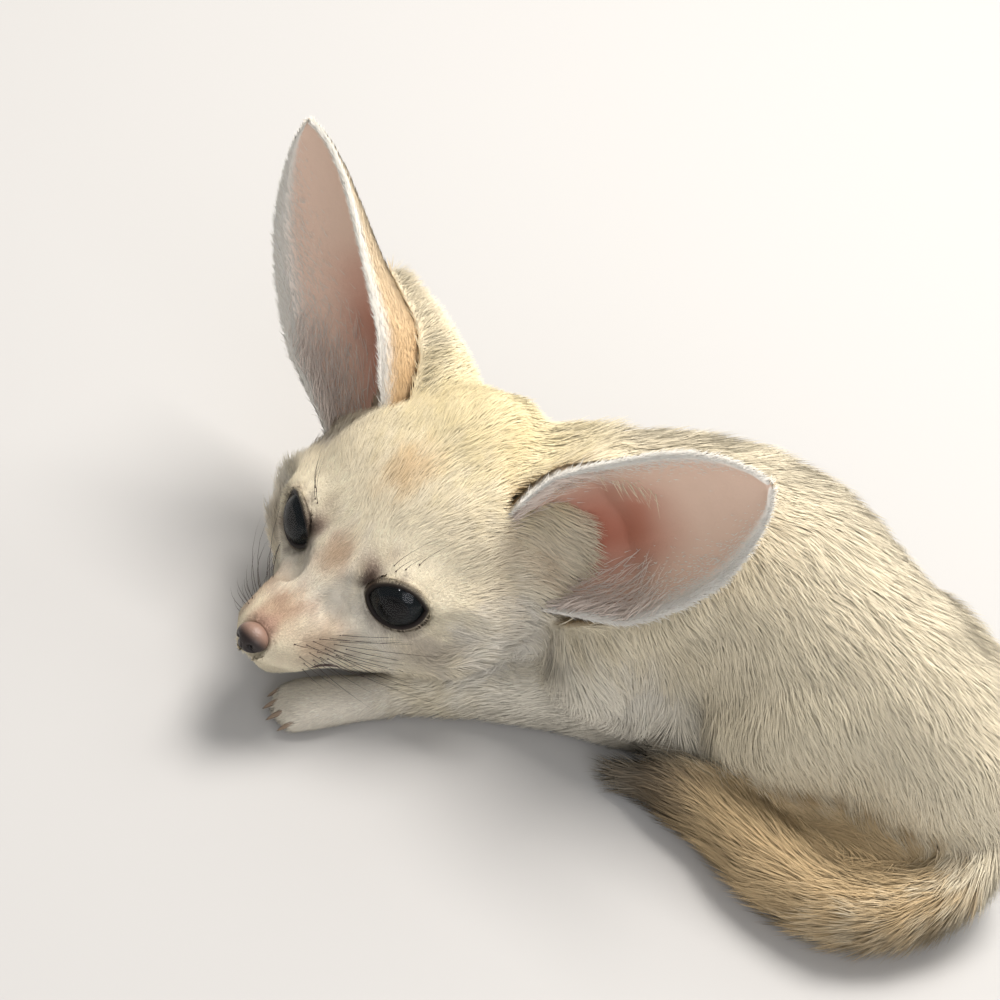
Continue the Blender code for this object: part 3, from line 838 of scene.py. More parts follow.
def survey(points: Array) -> Ground:
    """Finds where places lie along the runs.

    A run's nearness is the distance to its middle line over the radius there. The nearest run
    names the place, and directions and coat sizes are means weighted by exp(-nearness).

    Args:
        points: Plan places, a row each.

    Returns:
        The run, the share along it, the angle round it, the coat's flow, the way out and its sizes.
    """
    count = len(points)
    nearness = np.zeros((count, len(RUNS)))
    flows = np.zeros((count, len(RUNS), 3))
    shares = np.zeros((count, len(RUNS)))
    angles = np.zeros((count, len(RUNS)))
    outs = np.zeros((count, len(RUNS), 3))
    for number, run in enumerate(RUNS):
        line = np.array(run.line)
        steps = np.diff(line[:, :3], axis=0)
        spans = np.linalg.norm(steps, axis=1)
        away = points[:, None] - line[None, :-1, :3]
        along = np.clip(np.einsum("nsk,sk->ns", away, steps) / spans**2, 0, 1)
        radius = line[:-1, 3] + along * np.diff(line[:, 3])
        miss = away - along[..., None] * steps
        ratio = np.linalg.norm(miss, axis=2) / radius
        best = ratio.argmin(1)
        rows = np.arange(count)
        nearness[:, number] = ratio[rows, best]
        soft = np.exp(-STATION_BLEND * (ratio - ratio[rows, best][:, None]))
        flows[:, number] = unit(soft @ (steps / spans[:, None])) - np.array((0, 0, run.sag))
        travelled = np.concatenate(((0,), np.cumsum(spans)))
        shares[:, number] = (travelled[best] + along[rows, best] * spans[best]) / travelled[-1]
        ahead = steps[best] / spans[best][:, None]
        side = unit(np.cross(ahead, UP))
        lift = np.cross(side, ahead)
        out = miss[rows, best]
        outs[:, number] = unit(out)
        angles[:, number] = np.arctan2(np.einsum("nk,nk->n", out, lift), np.einsum("nk,nk->n", out, side))
    run = nearness.argmin(1)
    weights = np.exp(-BLEND_SHARPNESS * (nearness - nearness.min(1)[:, None]))
    weights /= weights.sum(1)[:, None]
    rows = np.arange(count)
    length = weights @ np.array([run.length for run in RUNS])
    width = weights @ np.array([run.width for run in RUNS])
    for side in SIDES.values():
        away = points - HEAD.eye(side)[0]
        far = np.linalg.norm(away, axis=1)
        near = PARTING * np.exp(-(((far - EYE_RADIUS) / PARTING_REACH) ** 2))
        flows[:, RUN_NUMBER["head"]] += unit(away) * near[:, None]
    short, thin = HeadCoat().sizes(points)
    on_skull = weights[:, RUN_NUMBER["head"]]
    return Ground(
        run,
        shares[rows, run],
        angles[rows, run],
        unit(np.einsum("nr,nrk->nk", weights, flows)),
        outs[rows, run],
        length * (1 - on_skull) + short * on_skull,
        width * (1 - on_skull) + thin * on_skull,
    )


@dataclass(frozen=True)
class HeadCoat:
    """The head's hair: shortest on the muzzle and lids, longest in the ruff on the cheeks."""

    shortest: float = 1.0
    on_muzzle: float = 2.0
    more_on_crown: float = 2.9
    less_by_nose: float = 0.8
    more_in_ruff: float = 3.4
    ruff_centre: Place = (-26, 27, -14)
    ruff_radii: Place = (20, 14, 15)
    at_lids: float = 0.5
    lid_zone: tuple[float, float] = (9.5, 8.0)
    thin: float = 0.19
    wider_with_length: float = 0.03

    def sizes(self, points: Array) -> tuple[Array, Array]:
        """How long and wide the hairs are.

        Args:
            points: Plan places, a row each.

        Returns:
            Lengths and widths.
        """
        local = HEAD.from_plan(points)
        length = self.on_muzzle + self.more_on_crown * smooth((14 - local[:, 0]) / 34)
        length -= self.less_by_nose * smooth((local[:, 0] - 17) / 8)
        ruff = np.linalg.norm((mirrored(local) - self.ruff_centre) / self.ruff_radii, axis=1)
        length += self.more_in_ruff * smooth(1.25 - ruff)
        start, reach = self.lid_zone
        for side in SIDES.values():
            far = np.linalg.norm(points - HEAD.eye(side)[0], axis=1)
            length *= self.at_lids + (1 - self.at_lids) * smooth((far - start) / reach)
        length = np.maximum(length, self.shortest)
        return length, self.thin + self.wider_with_length * length


# Skin

FLESH = (
    *("head", "lower_jaw", "neck", "chest", "belly"),
    *(f"{limb}_{side}" for limb in ("thigh", "shank", "hind_foot", "forearm", "forepaw") for side in SIDES),
    *("tail_root", "tail_middle", "tail_tip"),
)
# Middles and half sizes of the loose breast and flank skin that closes the gaps between the limbs.
FILLS = (
    ((55.0, 32.0, 15.0), (18.0, 14.0, 14.5)),
    ((94.0, 16.5, 11.5), (13.0, 12.0, 11.0)),
    ((136.0, -7.0, 9.5), (19.0, 9.5, 9.0)),
)


@dataclass
class Surface:
    """A triangulated surface that hair grows on."""

    points: Array
    triangles: Array
    normals: Array

    def tree(self) -> BVHTree:
        """A search tree of the surface in the plan.

        Returns:
            The tree.
        """
        return BVHTree.FromPolygons(self.points.tolist(), self.triangles.tolist())


def mesh_arrays(mesh: bpy.types.Mesh) -> tuple[Array, Array, Array]:
    """The vertices, triangles and vertex normals of a mesh.

    Args:
        mesh: The mesh.

    Returns:
        Plan places, corner numbers and unit normals.
    """
    mesh.calc_loop_triangles()
    points = np.zeros(len(mesh.vertices) * 3, np.float32)
    normals = np.zeros(len(mesh.vertices) * 3, np.float32)
    corners = np.zeros(len(mesh.loop_triangles) * 3, np.int32)
    mesh.vertices.foreach_get("co", points)
    mesh.vertices.foreach_get("normal", normals)
    mesh.loop_triangles.foreach_get("vertices", corners)
    return PLAN.from_row(points.reshape(-1, 3)), corners.reshape(-1, 3), normals.reshape(-1, 3).astype(float)


def settle(piece: bpy.types.Object) -> None:
    """Applies a piece's modifiers.

    Args:
        piece: The mesh object.
    """
    bpy.context.view_layer.update()
    mesh = bpy.data.meshes.new_from_object(piece.evaluated_get(bpy.context.evaluated_depsgraph_get()))
    piece.modifiers.clear()
    piece.data = mesh


def soften(piece: bpy.types.Object, factor: float, steps: int) -> None:
    """Gives a piece a smoothing modifier.

    Args:
        piece: The mesh object.
        factor: The strength of a step.
        steps: How many.
    """
    modifier = piece.modifiers.new("soften", "SMOOTH")
    modifier.factor = factor
    modifier.iterations = steps


def lump(centre: Array, axes: Array, radii: Place) -> Form:
    """An egg of soft flesh.

    Args:
        centre: Its middle.
        axes: Its three unit directions, a row each.
        radii: Its half sizes along them.

    Returns:
        Points and faces.
    """
    slopes = np.linspace(0.06, math.pi - 0.06, 22)
    points, faces = globe(np.zeros(3), np.eye(3), np.ones(len(slopes)), slopes, 32)
    return centre + (points * radii) @ axes, faces


@dataclass(frozen=True)
class Skin:
    """One skin over the whole animal, a coat's depth inside the solids."""

    voxel: float = 0.85
    # Strength and steps of the smoothing of the fused flesh and of the sunk skin.
    fused: tuple[float, int] = (0.5, 22)
    sunk: tuple[float, int] = (0.4, 4)
    # How far the coat stands off the skin, as a share of its length: in all, on the floor, by an ear.
    loft: float = 0.36
    floor_loft: float = 0.35
    ear_loft: float = 0.12
    # The skin is painted a little darker than the hair over it: painted shade in the gaps between the tufts.
    shade: float = 0.86

    def build(self) -> Surface:
        """Fuses the flesh nodes into one surface, softens it and sinks it along its normals.

        Returns:
            The finished skin's surface.
        """
        points, corners, start = [], [], 0
        for name in FLESH:
            node_points, triangles, _ = mesh_arrays(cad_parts[name].data)
            points.append(node_points)
            corners.append(triangles + start)
            start += len(node_points)
        groups = [np.vstack(corners)]
        fills = [lump(np.array(centre), np.eye(3), radii) for centre, radii in FILLS]
        for fill_points, fill_faces in (*fills, *EARS[0].mounds(), *EARS[1].mounds()):
            points.append(fill_points)
            groups += [group + start for group in outward(fill_points, fill_faces)]
            start += len(fill_points)
        skin = new_piece("skin", np.vstack(points), groups, Look.UNDERCOAT.value)
        fuse = skin.modifiers.new("fuse", "REMESH")
        fuse.mode = "VOXEL"
        fuse.voxel_size = self.voxel * MM
        soften(skin, *self.fused)
        settle(skin)
        places, _, normals = mesh_arrays(skin.data)
        sunk = places - normals * self.depth(places)[:, None]
        skin.data.vertices.foreach_set("co", PLAN.to_row(sunk).astype(np.float32).ravel())
        soften(skin, *self.sunk)
        settle(skin)
        places, triangles, normals = mesh_arrays(skin.data)
        # Painted shade between the tufts: the skin takes the coat's colours, darkened.
        paint(skin, markings(places) * self.shade)
        skin.data.shade_smooth()
        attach(skin, "root")
        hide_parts(*FLESH)
        return Surface(places, triangles, normals)

    def depth(self, places: Array) -> Array:
        """How far the coat stands off the skin: the hairs' length times their loft.

        Args:
            places: Plan places, a row each.

        Returns:
            Depths, thin where the body meets the floor and on the thin folds round the ears.
        """
        resting = smooth((places[:, 2] - 0.5) / 6)
        beside = smooth((ear_gap(places) - 1) / 9)
        depth = survey(places).length * self.loft * (self.floor_loft + (1 - self.floor_loft) * resting)
        return depth * (self.ear_loft + (1 - self.ear_loft) * beside)


# Coat


@dataclass
class Roots:
    """Places on a surface where tufts grow."""

    points: Array
    normals: Array
    face: Array


def scatter(surface: Surface, weight: Array, count: int, seed: int) -> Roots:
    """Spreads places over a surface, evenly by area times weight.

    Args:
        surface: Where they lie.
        weight: How densely each triangle is covered.
        count: How many places.
        seed: For the random part.

    Returns:
        The places.
    """
    dice = np.random.default_rng(seed)
    a, b, c = (surface.points[surface.triangles[:, k]] for k in range(3))
    area = np.linalg.norm(np.cross(b - a, c - a), axis=1) / 2 * weight
    total = np.cumsum(area)
    marks = (np.arange(count) + dice.uniform(0, 1, count)) * total[-1] / count
    face = np.minimum(np.searchsorted(total, marks), len(area) - 1)
    u, v = np.sqrt(dice.uniform(0, 1, count)), dice.uniform(0, 1, count)
    shares = np.stack((1 - u, u * (1 - v), u * v), 1)
    corner = surface.triangles[face]
    places = np.einsum("nk,nkd->nd", shares, surface.points[corner])
    normals = unit(np.einsum("nk,nkd->nd", shares, surface.normals[corner]))
    return Roots(places, normals, face)


TUFT = Strands(((0.0, 1.0), (0.5, 0.8)), 3, 0.45)
NAP = Strands(((0.0, 1.0),), 3, 0.5)
PIECE_TRIANGLES = 199000
BAKE_PATCH = 0.003
# Hair that would pass the floor is pressed flat within this height over it.
PRESSED = 1.2
# Brightness of a tuft at its root and at its tip: the darker root is painted shade deep in the coat.
ROOT_PAINTED_SHADE = 0.84
TIP_SHADE = 1.06


def coat_piece(name: str, form: Strands, hairs: Hairs, colours: Array, bake: Array) -> None:
    """One joined mesh of tufts, with its colours and its bake map.

    Args:
        name: The piece's name.
        form: The tufts' form.
        hairs: Where and how they grow.
        colours: A linear colour a tuft.
        bake: Each root's place on the unwrap of the skin.
    """
    points, faces, shares, shading = form.build(hairs)
    low = points[:, 2] < PRESSED
    points[low, 2] = PRESSED * np.exp(points[low, 2] / PRESSED - 1)
    piece = new_piece(name, points, faces, Look.COAT.value)
    piece.data.normals_split_custom_set_from_vertices(shading)
    count = len(hairs.roots)
    each = len(points) // count
    # Painted shade: each tuft is darkened towards its root, where the coat shades itself, and lightened
    # towards its tip.
    shade = ROOT_PAINTED_SHADE + (TIP_SHADE - ROOT_PAINTED_SHADE) * shares
    paint(piece, np.repeat(colours, each, axis=0) * shade[:, None])
    ring = np.tile(np.linspace(-0.5, 0.5, form.sides), len(form.rings))
    around = np.tile(np.append(ring, 0.0), count)
    patch = np.repeat(bake, each, axis=0) + BAKE_PATCH * np.stack((around, shares - 0.5), 1)
    corners = np.zeros(len(piece.data.loops), np.int32)
    piece.data.loops.foreach_get("vertex_index", corners)
    layer = piece.data.uv_layers.new(name="OFBake")
    layer.data.foreach_set("uv", patch[corners].astype(np.float32).ravel())
    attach(piece, "root")


def unwrap(ground: Ground) -> Array:
    """Where places lie on the skin's unwrap: each run is opened out as a cylinder on its own tile.

    Args:
        ground: What the runs say about the places.

    Returns:
        Two numbers from 0 to 1 a place.
    """
    columns, margin = 5, 0.04
    rows = math.ceil(len(RUNS) / columns)
    tile = np.stack((ground.run % columns, ground.run // columns), 1)
    inside = np.stack((ground.share, ground.angle / (2 * math.pi) + 0.5), 1)
    return (tile + margin + (1 - 2 * margin) * inside) / (columns, rows)


# No hair grows this near an ear, long tufts keep further off, and round it the hair on steep skin
# is lit like the coat beside it.
EAR_CLEARANCE = 1.0
TUFT_CLEARANCE = 5.5
EAR_SURROUND = 6.0
# Distances are worked out this far round the middle of an ear's root.
EAR_ZONE = 36
FAR_FROM_EARS = 99.0


def ear_gap(points: Array) -> Array:
    """How far places are from the nearest ear's wall, near its root.

    Args:
        points: Plan places, a row each.

    Returns:
        Distances, or a large number far from both ears.
    """
    gaps = np.full(len(points), FAR_FROM_EARS)
    grid = np.meshgrid(np.linspace(Ear.start, 0.4, 22), np.linspace(-0.97, 0.97, 24))
    for ear in EARS:
        wall = HEAD.to_plan(ear.sheet(*(values.ravel() for values in grid)))
        near = np.flatnonzero(np.linalg.norm(points - wall.mean(0), axis=1) < EAR_ZONE)
        gaps[near] = np.linalg.norm(points[near][:, None] - wall[None], axis=2).min(1)
    return gaps


@dataclass(frozen=True)
class Lie:
    """How hair lies: how far it strays, how steeply it leaves the skin, how far its tips bend back."""

    stray: float
    lift: float
    droop: float


NAP_LIE = Lie(0.22, 0.36, 0.06)
TUFT_LIE = Lie(0.3, 0.55, 0.15)
LID_LIE = Lie(0.2, 0.3, 0.05)
# Long and short swirls in the lie: the distance between two, their strength and their seed.
SWIRLS = ((18.0, 0.45, 31), (6.0, 0.3, 32))
# Limits of how steeply a hair leaves the skin.
RISE = (0.12, 0.95)
# Bent tufts are this much thinner than the nap.
TUFT_WIDTH = 0.8
# One tuft in a few is darker than the rest, and by how much.
DARK_SHARE = 0.04
DARK_TUFT = 0.76


# Which runs' tufts go into which pieces.
COAT_GROUPS = {
    "head": ("head",),
    "trunk": ("trunk", "arm_left", "arm_right"),
    "haunches": ("haunch_left", "haunch_right", "shank_left", "shank_right"),
    "tail": ("tail",),
    "legs": tuple(f"{limb}_{side}" for limb in ("forearm", "forepaw", "hind_foot") for side in SIDES),
}


@dataclass(frozen=True)
class BodyCoat:
    """The tufts over the skin, in pieces by part of the body."""

    skin: Surface
    # How many bent tufts, and how many short straight ones.
    long_count: int
    short_count: int
    # Only hair longer than this has bent tufts over the nap.
    long_hair: float = 3.2
    # Where skin turns further than this from its run's way out it lies in a fold and stays bare.
    fold: float = -0.5
    fold_by_ear: float = -0.2
    # How deep the tufts are rooted, and how bare the underside on the floor is.
    root_depth: float = 0.3
    under: float = 0.25
    lid_margin: float = 0.35

    def build(self) -> int:
        """Grows both kinds of tuft.

        Returns:
            How many tufts there are.
        """
        middles = self.skin.points[self.skin.triangles].mean(1)
        normals = self.skin.normals[self.skin.triangles[:, 0]]
        ground = survey(middles)
        shown = self.under + (1 - self.under) * smooth((middles[:, 2] - 1.0) / 6)
        eyes = np.minimum(*(np.linalg.norm(middles - HEAD.eye(side)[0], axis=1) for side in SIDES.values()))
        shown *= eyes > EYE_RADIUS + self.lid_margin
        cover = shown / (ground.width * ground.length)
        facing_out = np.einsum("nk,nk->n", normals, ground.out)
        gaps = ear_gap(middles)
        steep = np.where(gaps < EAR_SURROUND, self.fold_by_ear, self.fold)
        cover *= (gaps > EAR_CLEARANCE) & (facing_out > steep)
        cover *= (middles[:, 2] > 1.0) | (normals[:, 2] > -0.5)
        self.grow("nap", NAP, scatter(self.skin, cover, self.short_count, 5), NAP_LIE)
        wavy = cover * (ground.length > self.long_hair) * (gaps > TUFT_CLEARANCE)
        self.grow("coat", TUFT, scatter(self.skin, wavy, self.long_count, 6), TUFT_LIE)
        return self.long_count + self.short_count

    def grow(self, prefix: str, form: Strands, roots: Roots, lie: Lie) -> None:
        """Makes the pieces of one kind of tuft.

        Args:
            prefix: The start of the pieces' names.
            form: The tufts' form.
            roots: Where they grow.
            lie: How they lie.
        """
        places, normals = roots.points, roots.normals
        count = len(places)
        dice = np.random.default_rng(count)
        ground = survey(places)
        flow = unit(ground.flow - normals * np.einsum("nk,nk->n", ground.flow, normals)[:, None])
        side = np.cross(normals, flow)
        swirl = sum(strength * noise(places, size, seed) for size, strength, seed in SWIRLS)
        swirl += lie.stray * dice.normal(size=count) * 0.6
        flow = unit(flow + side * (0.5 * swirl)[:, None])
        rise = lie.lift + 0.08 * noise(places, 4.0, 33) + 0.07 * dice.normal(size=count)
        rise = np.clip(rise, *RISE)[:, None]
        ways = unit(flow + normals * rise)
        bends = -normals * (lie.droop + 0.25 * (rise - lie.lift))
        bends = bends + side * (0.08 * dice.normal(size=count))[:, None]
        lengths = ground.length * dice.uniform(0.78, 1.18, count)
        widths = ground.width * dice.uniform(0.75, 1.2, count) * (TUFT_WIDTH if form is TUFT else 1.0)
        mottle = 0.05 + 0.06 * smooth((4.5 - ground.length) / 2)
        colours = markings(places) * (1 + mottle * dice.normal(size=count))[:, None]
        colours[dice.uniform(size=count) < DARK_SHARE] *= DARK_TUFT
        beside = smooth((EAR_SURROUND + 2 - ear_gap(places)) / EAR_SURROUND)[:, None]
        shown = unit(normals + 2.5 * beside * ground.out)
        hairs = Hairs(places - normals * self.root_depth, ways, bends, lengths, widths, shown)
        bake = unwrap(ground)
        for group, members in COAT_GROUPS.items():
            chosen = np.flatnonzero(np.isin(ground.run, [RUN_NUMBER[name] for name in members]))
            chosen = chosen[np.argsort(places[chosen, 0])]
            if not len(chosen):
                continue
            parts = math.ceil(len(chosen) / (PIECE_TRIANGLES // form.triangles()))
            for number, rows in enumerate(np.array_split(chosen, parts)):
                name = f"{prefix}_{group}_{number + 1}"
                coat_piece(name, form, hairs.picked(rows), colours[rows], bake[rows])


# Ears


@dataclass(frozen=True)
class EarFur:
    """One kind of an ear's hair: its form and number, its length and width, and how steeply it stands."""

    form: Strands
    count: int
    length: float
    width: float
    rise: float


EAR_FUR = {
    "back": EarFur(NAP, 17000, 2.8, 0.38, 0.3),
    "fringe": EarFur(NAP, 5200, 3.2, 0.3, 0.45),
    "inner": EarFur(TUFT, 900, 8.0, 0.2, 0.55),
    "down": EarFur(NAP, 5200, 2.6, 0.24, 0.4),
}


@dataclass(frozen=True)
class Ear:
    """A cupped ear: arcs carried along a bent spine, widest a third of the way up."""

    name: str
    side: int
    base: Place
    tip: Place
    opening: Place
    bend: float = 6.0
    thickness: float = 1.5
    rows: int = 72
    across: int = 44

    # The shell starts this share of the length below the base, and its tip is rounded within this share.
    start: float = -0.16
    tip_rounding: float = 0.035
    # How much thinner the edges are than the middle.
    edge_thinning: float = 0.75
    # Bare skin inside and low in the cup, the edges, the back and its foot, and the long hair inside.
    pink: str = "ebcdb9"
    red: str = "cd816a"
    white: str = "fff8ee"
    cream: str = "f0dcbc"
    tan: str = "e9c290"
    long_hair: str = "f2e2d6"
    # The ridges inside the foot: place across, width as a share of the arc, and height.
    ridges: Table = ((0.15, 0.06, 0.9), (-0.22, 0.05, 0.7), (0.5, 0.07, 0.6))
    # The mounds of flesh round the ear's root: how far below and behind the base, and half sizes.
    feet: tuple = ((10.0, 8.5, (10.0, 16.0, 14.5)), (6.0, 16.5, (11.0, 13.5, 8.0)))
    # Share of the length, half width to the inner edge, half width to the outer edge, half arc in degrees.
    stations: Table = (
        (-0.18, 8.0, 8.5, 116),
        (-0.05, 11.8, 12.2, 112),
        (0.10, 15.2, 15.9, 106),
        (0.22, 16.8, 18.8, 98),
        (0.34, 16.6, 19.3, 86),
        (0.50, 15.6, 18.8, 72),
        (0.66, 14.2, 16.8, 60),
        (0.78, 12.0, 13.2, 52),
        (0.88, 8.8, 9.3, 44),
        (0.96, 4.4, 5.2, 40),
        (1.0, 1.3, 1.6, 40),
    )

    def sheet(self, share: Array, turn: Array) -> Array:
        """The ear's middle sheet.

        At a share of the length the spine stands off its chord by bend * share * (1 - share), and
        the sheet is an arc about it whose ends are the ear's two edges.

        Args:
            share: Shares of the length.
            turn: From -1 at the outer edge to 1 at the inner one.

        Returns:
            Places in the head.
        """
        base, tip = np.array(self.base), np.array(self.tip)
        length = np.linalg.norm(tip - base)
        axis = (tip - base) / length
        front = np.array(self.opening) - axis * np.dot(self.opening, axis)
        front = front / np.linalg.norm(front)
        inward = np.cross(front, axis) * self.side
        knots, inner, outer, arc = np.array(self.stations).T
        fine = np.linspace(knots[0], knots[-1], 200)
        kernel = np.hanning(15) / np.hanning(15).sum()
        halves = []
        for row in (inner, outer):
            curve = np.convolve(np.pad(np.interp(fine, knots, row), 7, mode="edge"), kernel, "valid")
            halves.append(np.interp(share, fine, curve))
        toward = smooth(0.5 + 0.5 * turn)
        half = halves[0] * toward + halves[1] * (1 - toward)
        half = half * np.sqrt(np.clip((1.0 - share) / self.tip_rounding, 0.05, 1.0)) ** 0.6
        arc = np.radians(np.interp(share, knots, arc))
        radius = half / np.sin(np.minimum(arc, math.pi / 2))
        angle = arc * turn
        lift = self.bend * np.maximum(share, 0) * (1 - share)
        spine = base + axis * (length * share)[:, None] + front * lift[:, None]
        out = inward * (radius * np.sin(angle))[:, None]
        return spine + out + front * (radius * (np.cos(arc) - np.cos(angle)))[:, None]

    def build(self) -> tuple[Surface, Array, Array]:
        """Makes the ear as a closed shell with folds inside its foot.

        Returns:
            Its surface, and the share and turn of each point, with turn beyond 2 on the back.
        """
        rows = np.linspace(self.start, 1.0, self.rows)
        turns = np.linspace(-1.0, 1.0, self.across)
        share, turn = (grid.ravel() for grid in np.meshgrid(rows, turns, indexing="ij"))
        middle = self.sheet(share, turn).reshape(self.rows, self.across, 3)
        up = np.gradient(middle, axis=0)
        along = np.gradient(middle, axis=1)
        normal = unit(np.cross(up, along)) * self.side
        folds = sum(high * np.exp(-(((turn - place) / wide) ** 2)) for place, wide, high in self.ridges)
        folds = (folds * smooth((0.55 - share) / 0.3)).reshape(self.rows, self.across, 1)
        edge = (1 - np.abs(turn) ** 10 * self.edge_thinning).reshape(self.rows, self.across, 1)
        half = 0.5 * self.thickness * edge
        inside = middle + normal * (half + 0.8 * folds)
        back = middle - normal * half
        loops = np.concatenate((inside, back[:, ::-1]), 1)
        points, faces = capped(loops, loops[0].mean(0), loops[-1].mean(0))
        plan_points = HEAD.to_plan(points)
        faces = outward(plan_points, faces)
        piece = new_piece(self.name, plan_points, faces, Look.EAR_SKIN.value)
        turn = turn.reshape(self.rows, -1)
        turn_of = np.concatenate((turn, 4 - turn[:, ::-1]), 1)
        share_of = np.repeat(rows, 2 * self.across)
        turn_of = np.append(turn_of.ravel(), (0.0, 0.0))
        share_of = np.append(share_of, (rows[0], 1.0))
        paint(piece, self.colours(share_of, turn_of, plan_points))
        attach(piece, "root")
        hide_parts(self.name)
        _, triangles, normals = mesh_arrays(piece.data)
        return Surface(plan_points, triangles, normals), share_of, turn_of

    def colours(self, share: Array, turn: Array, points: Array) -> Array:
        """Pink bare skin inside, redder low in the cup, with white edges, and tan fur on the back.

        Args:
            share: Each point's share of the length.
            turn: From -1 to 1 inside, and 3 to 5 on the back.
            points: Plan places.

        Returns:
            Linear colours.
        """
        inside = turn < 2
        across = np.where(inside, turn, 4 - turn)
        pink, red, white = linear(self.pink), linear(self.red), linear(self.white)
        red_share = smooth((0.66 - share) / 0.4) * smooth((0.62 - np.abs(across + 0.05)) / 0.5)
        red_share = np.clip(red_share * (0.85 + 0.12 * noise(points, 14.0, 41)), 0, 1)[:, None]
        front = pink * (1 - red_share) + red * red_share
        rim = smooth((np.abs(across) - 0.74) / 0.2)[:, None]
        front = front * (1 - rim) + white * rim
        tan_share = smooth((0.75 - share) / 0.7)[:, None] * 0.8
        back = linear(self.cream) * (1 - tan_share) + linear(self.tan) * tan_share
        rim_back = smooth((np.abs(across) - 0.86) / 0.12)[:, None]
        back = back * (1 - rim_back) + white * rim_back
        return np.where(inside[:, None], front, back)

    def coat(self, surface: Surface, share: Array, turn: Array) -> None:
        """Short flat fur on the back, a white fringe on the edges and long hair inside the foot.

        Args:
            surface: The ear's surface.
            share: Each point's share of the length.
            turn: Each point's place across.
        """
        corner_turn = turn[surface.triangles]
        corner_share = share[surface.triangles].mean(1)
        aside = np.abs(corner_turn.mean(1))
        inside = corner_turn.max(1) < 1.01
        on_edge = (np.ptp(corner_turn, axis=1) > 1) | (aside > 0.9) & (aside < 2)
        weights = {
            "back": (corner_turn.min(1) > 2.9).astype(float) * (corner_share > -0.15),
            "fringe": (on_edge & (corner_share > 0.03)).astype(float),
            "inner": inside * smooth((0.4 - corner_share) / 0.3) * smooth(aside - 0.25),
            "down": (inside & (aside > 0.1)) * aside**4,
        }
        for kind, weight in weights.items():
            self.tufts(kind, surface, weight, share, turn)

    def directions(self) -> Array:
        """The ear's own directions in the head.

        Returns:
            Rows: towards the tip, across, and out of the opening.
        """
        axis = unit(np.array(self.tip) - np.array(self.base))
        front = unit(np.array(self.opening) - axis * np.dot(self.opening, axis))
        return np.stack((axis, np.cross(front, axis), front))

    def mounds(self) -> list[Form]:
        """The furred mounds that close the bottom of the cup and bed its back, as flesh for the skin.

        Returns:
            Points in the plan and faces of each.
        """
        turned = self.directions()
        base = np.array(self.base)
        mounds = []
        for low, back, radii in self.feet:
            points, faces = lump(base - turned[0] * low - turned[2] * back, turned, radii)
            mounds.append((HEAD.to_plan(points), faces))
        return mounds

    def tufts(self, kind: str, surface: Surface, weight: Array, share: Array, turn: Array) -> None:
        """One kind of the ear's hair as a piece.

        Args:
            kind: Which of EAR_FUR, and the end of the piece's name.
            surface: The ear's surface.
            weight: How densely each triangle is covered.
            share: Each point's share of the length.
            turn: Each point's place across.
        """
        fur = EAR_FUR[kind]
        count = fur.count
        dice = np.random.default_rng(count + self.side)
        roots = scatter(surface, weight, count, count)
        corner = surface.triangles[roots.face]
        where_share = share[corner].mean(1)
        where_turn = turn[corner].mean(1)
        inside = where_turn < 2
        normals = roots.normals
        up = unit(HEAD.to_plan(np.array([self.tip])) - HEAD.to_plan(np.array([self.base])))[0]
        middle = HEAD.to_plan(self.sheet(np.array([0.45]), np.array([0.0])))[0]
        spread = unit(roots.points - middle)
        flow = up + 0.35 * spread + 0.18 * dice.normal(size=(count, 3))
        if kind == "inner":
            flow = up * 0.9 - 0.45 * spread + 0.22 * dice.normal(size=(count, 3))
        flow = unit(flow - normals * np.einsum("nk,nk->n", flow, normals)[:, None])
        ways = unit(flow + normals * fur.rise * dice.uniform(0.6, 1.3, (count, 1)))
        bends = -normals * fur.rise * 0.35
        lengths = fur.length * dice.uniform(0.7, 1.2, count) * (0.6 + 0.4 * smooth((1 - where_share) / 0.3))
        widths = np.full(count, fur.width) * dice.uniform(0.8, 1.2, count)
        tint = self.colours(where_share, np.where(inside, 0.97, where_turn), roots.points)
        if kind == "inner":
            tint = np.tile(linear(self.long_hair), (count, 1))
        tint = tint * dice.normal(1.0, 0.04, count)[:, None]
        bake = 0.02 + 0.96 * np.stack((np.clip((where_share + 0.2) / 1.2, 0, 1), (where_turn + 1) / 6), 1)
        front = self.directions()[2] @ HEAD.axes()
        shown = normals if kind == "back" else unit(normals + 1.6 * front)
        if kind == "fringe":
            shown = unit(0.4 * normals + 0.7 * front + np.array((0.0, 0.0, 1.3)))
        hairs = Hairs(roots.points - normals * 0.15, ways, bends, lengths, widths, shown)
        coat_piece(f"{self.name}_{kind}", fur.form, hairs, tint, bake)


EARS = (
    Ear("ear_left", 1, (-28.0, 30.0, 9.0), (-45.5, 68.0, 53.5), (0.97, 0.14, 0.10)),
    Ear("ear_right", -1, (-28.0, -30.0, 9.0), (-46.5, -74.0, 55.0), (0.98, -0.12, 0.10)),
)


# Face


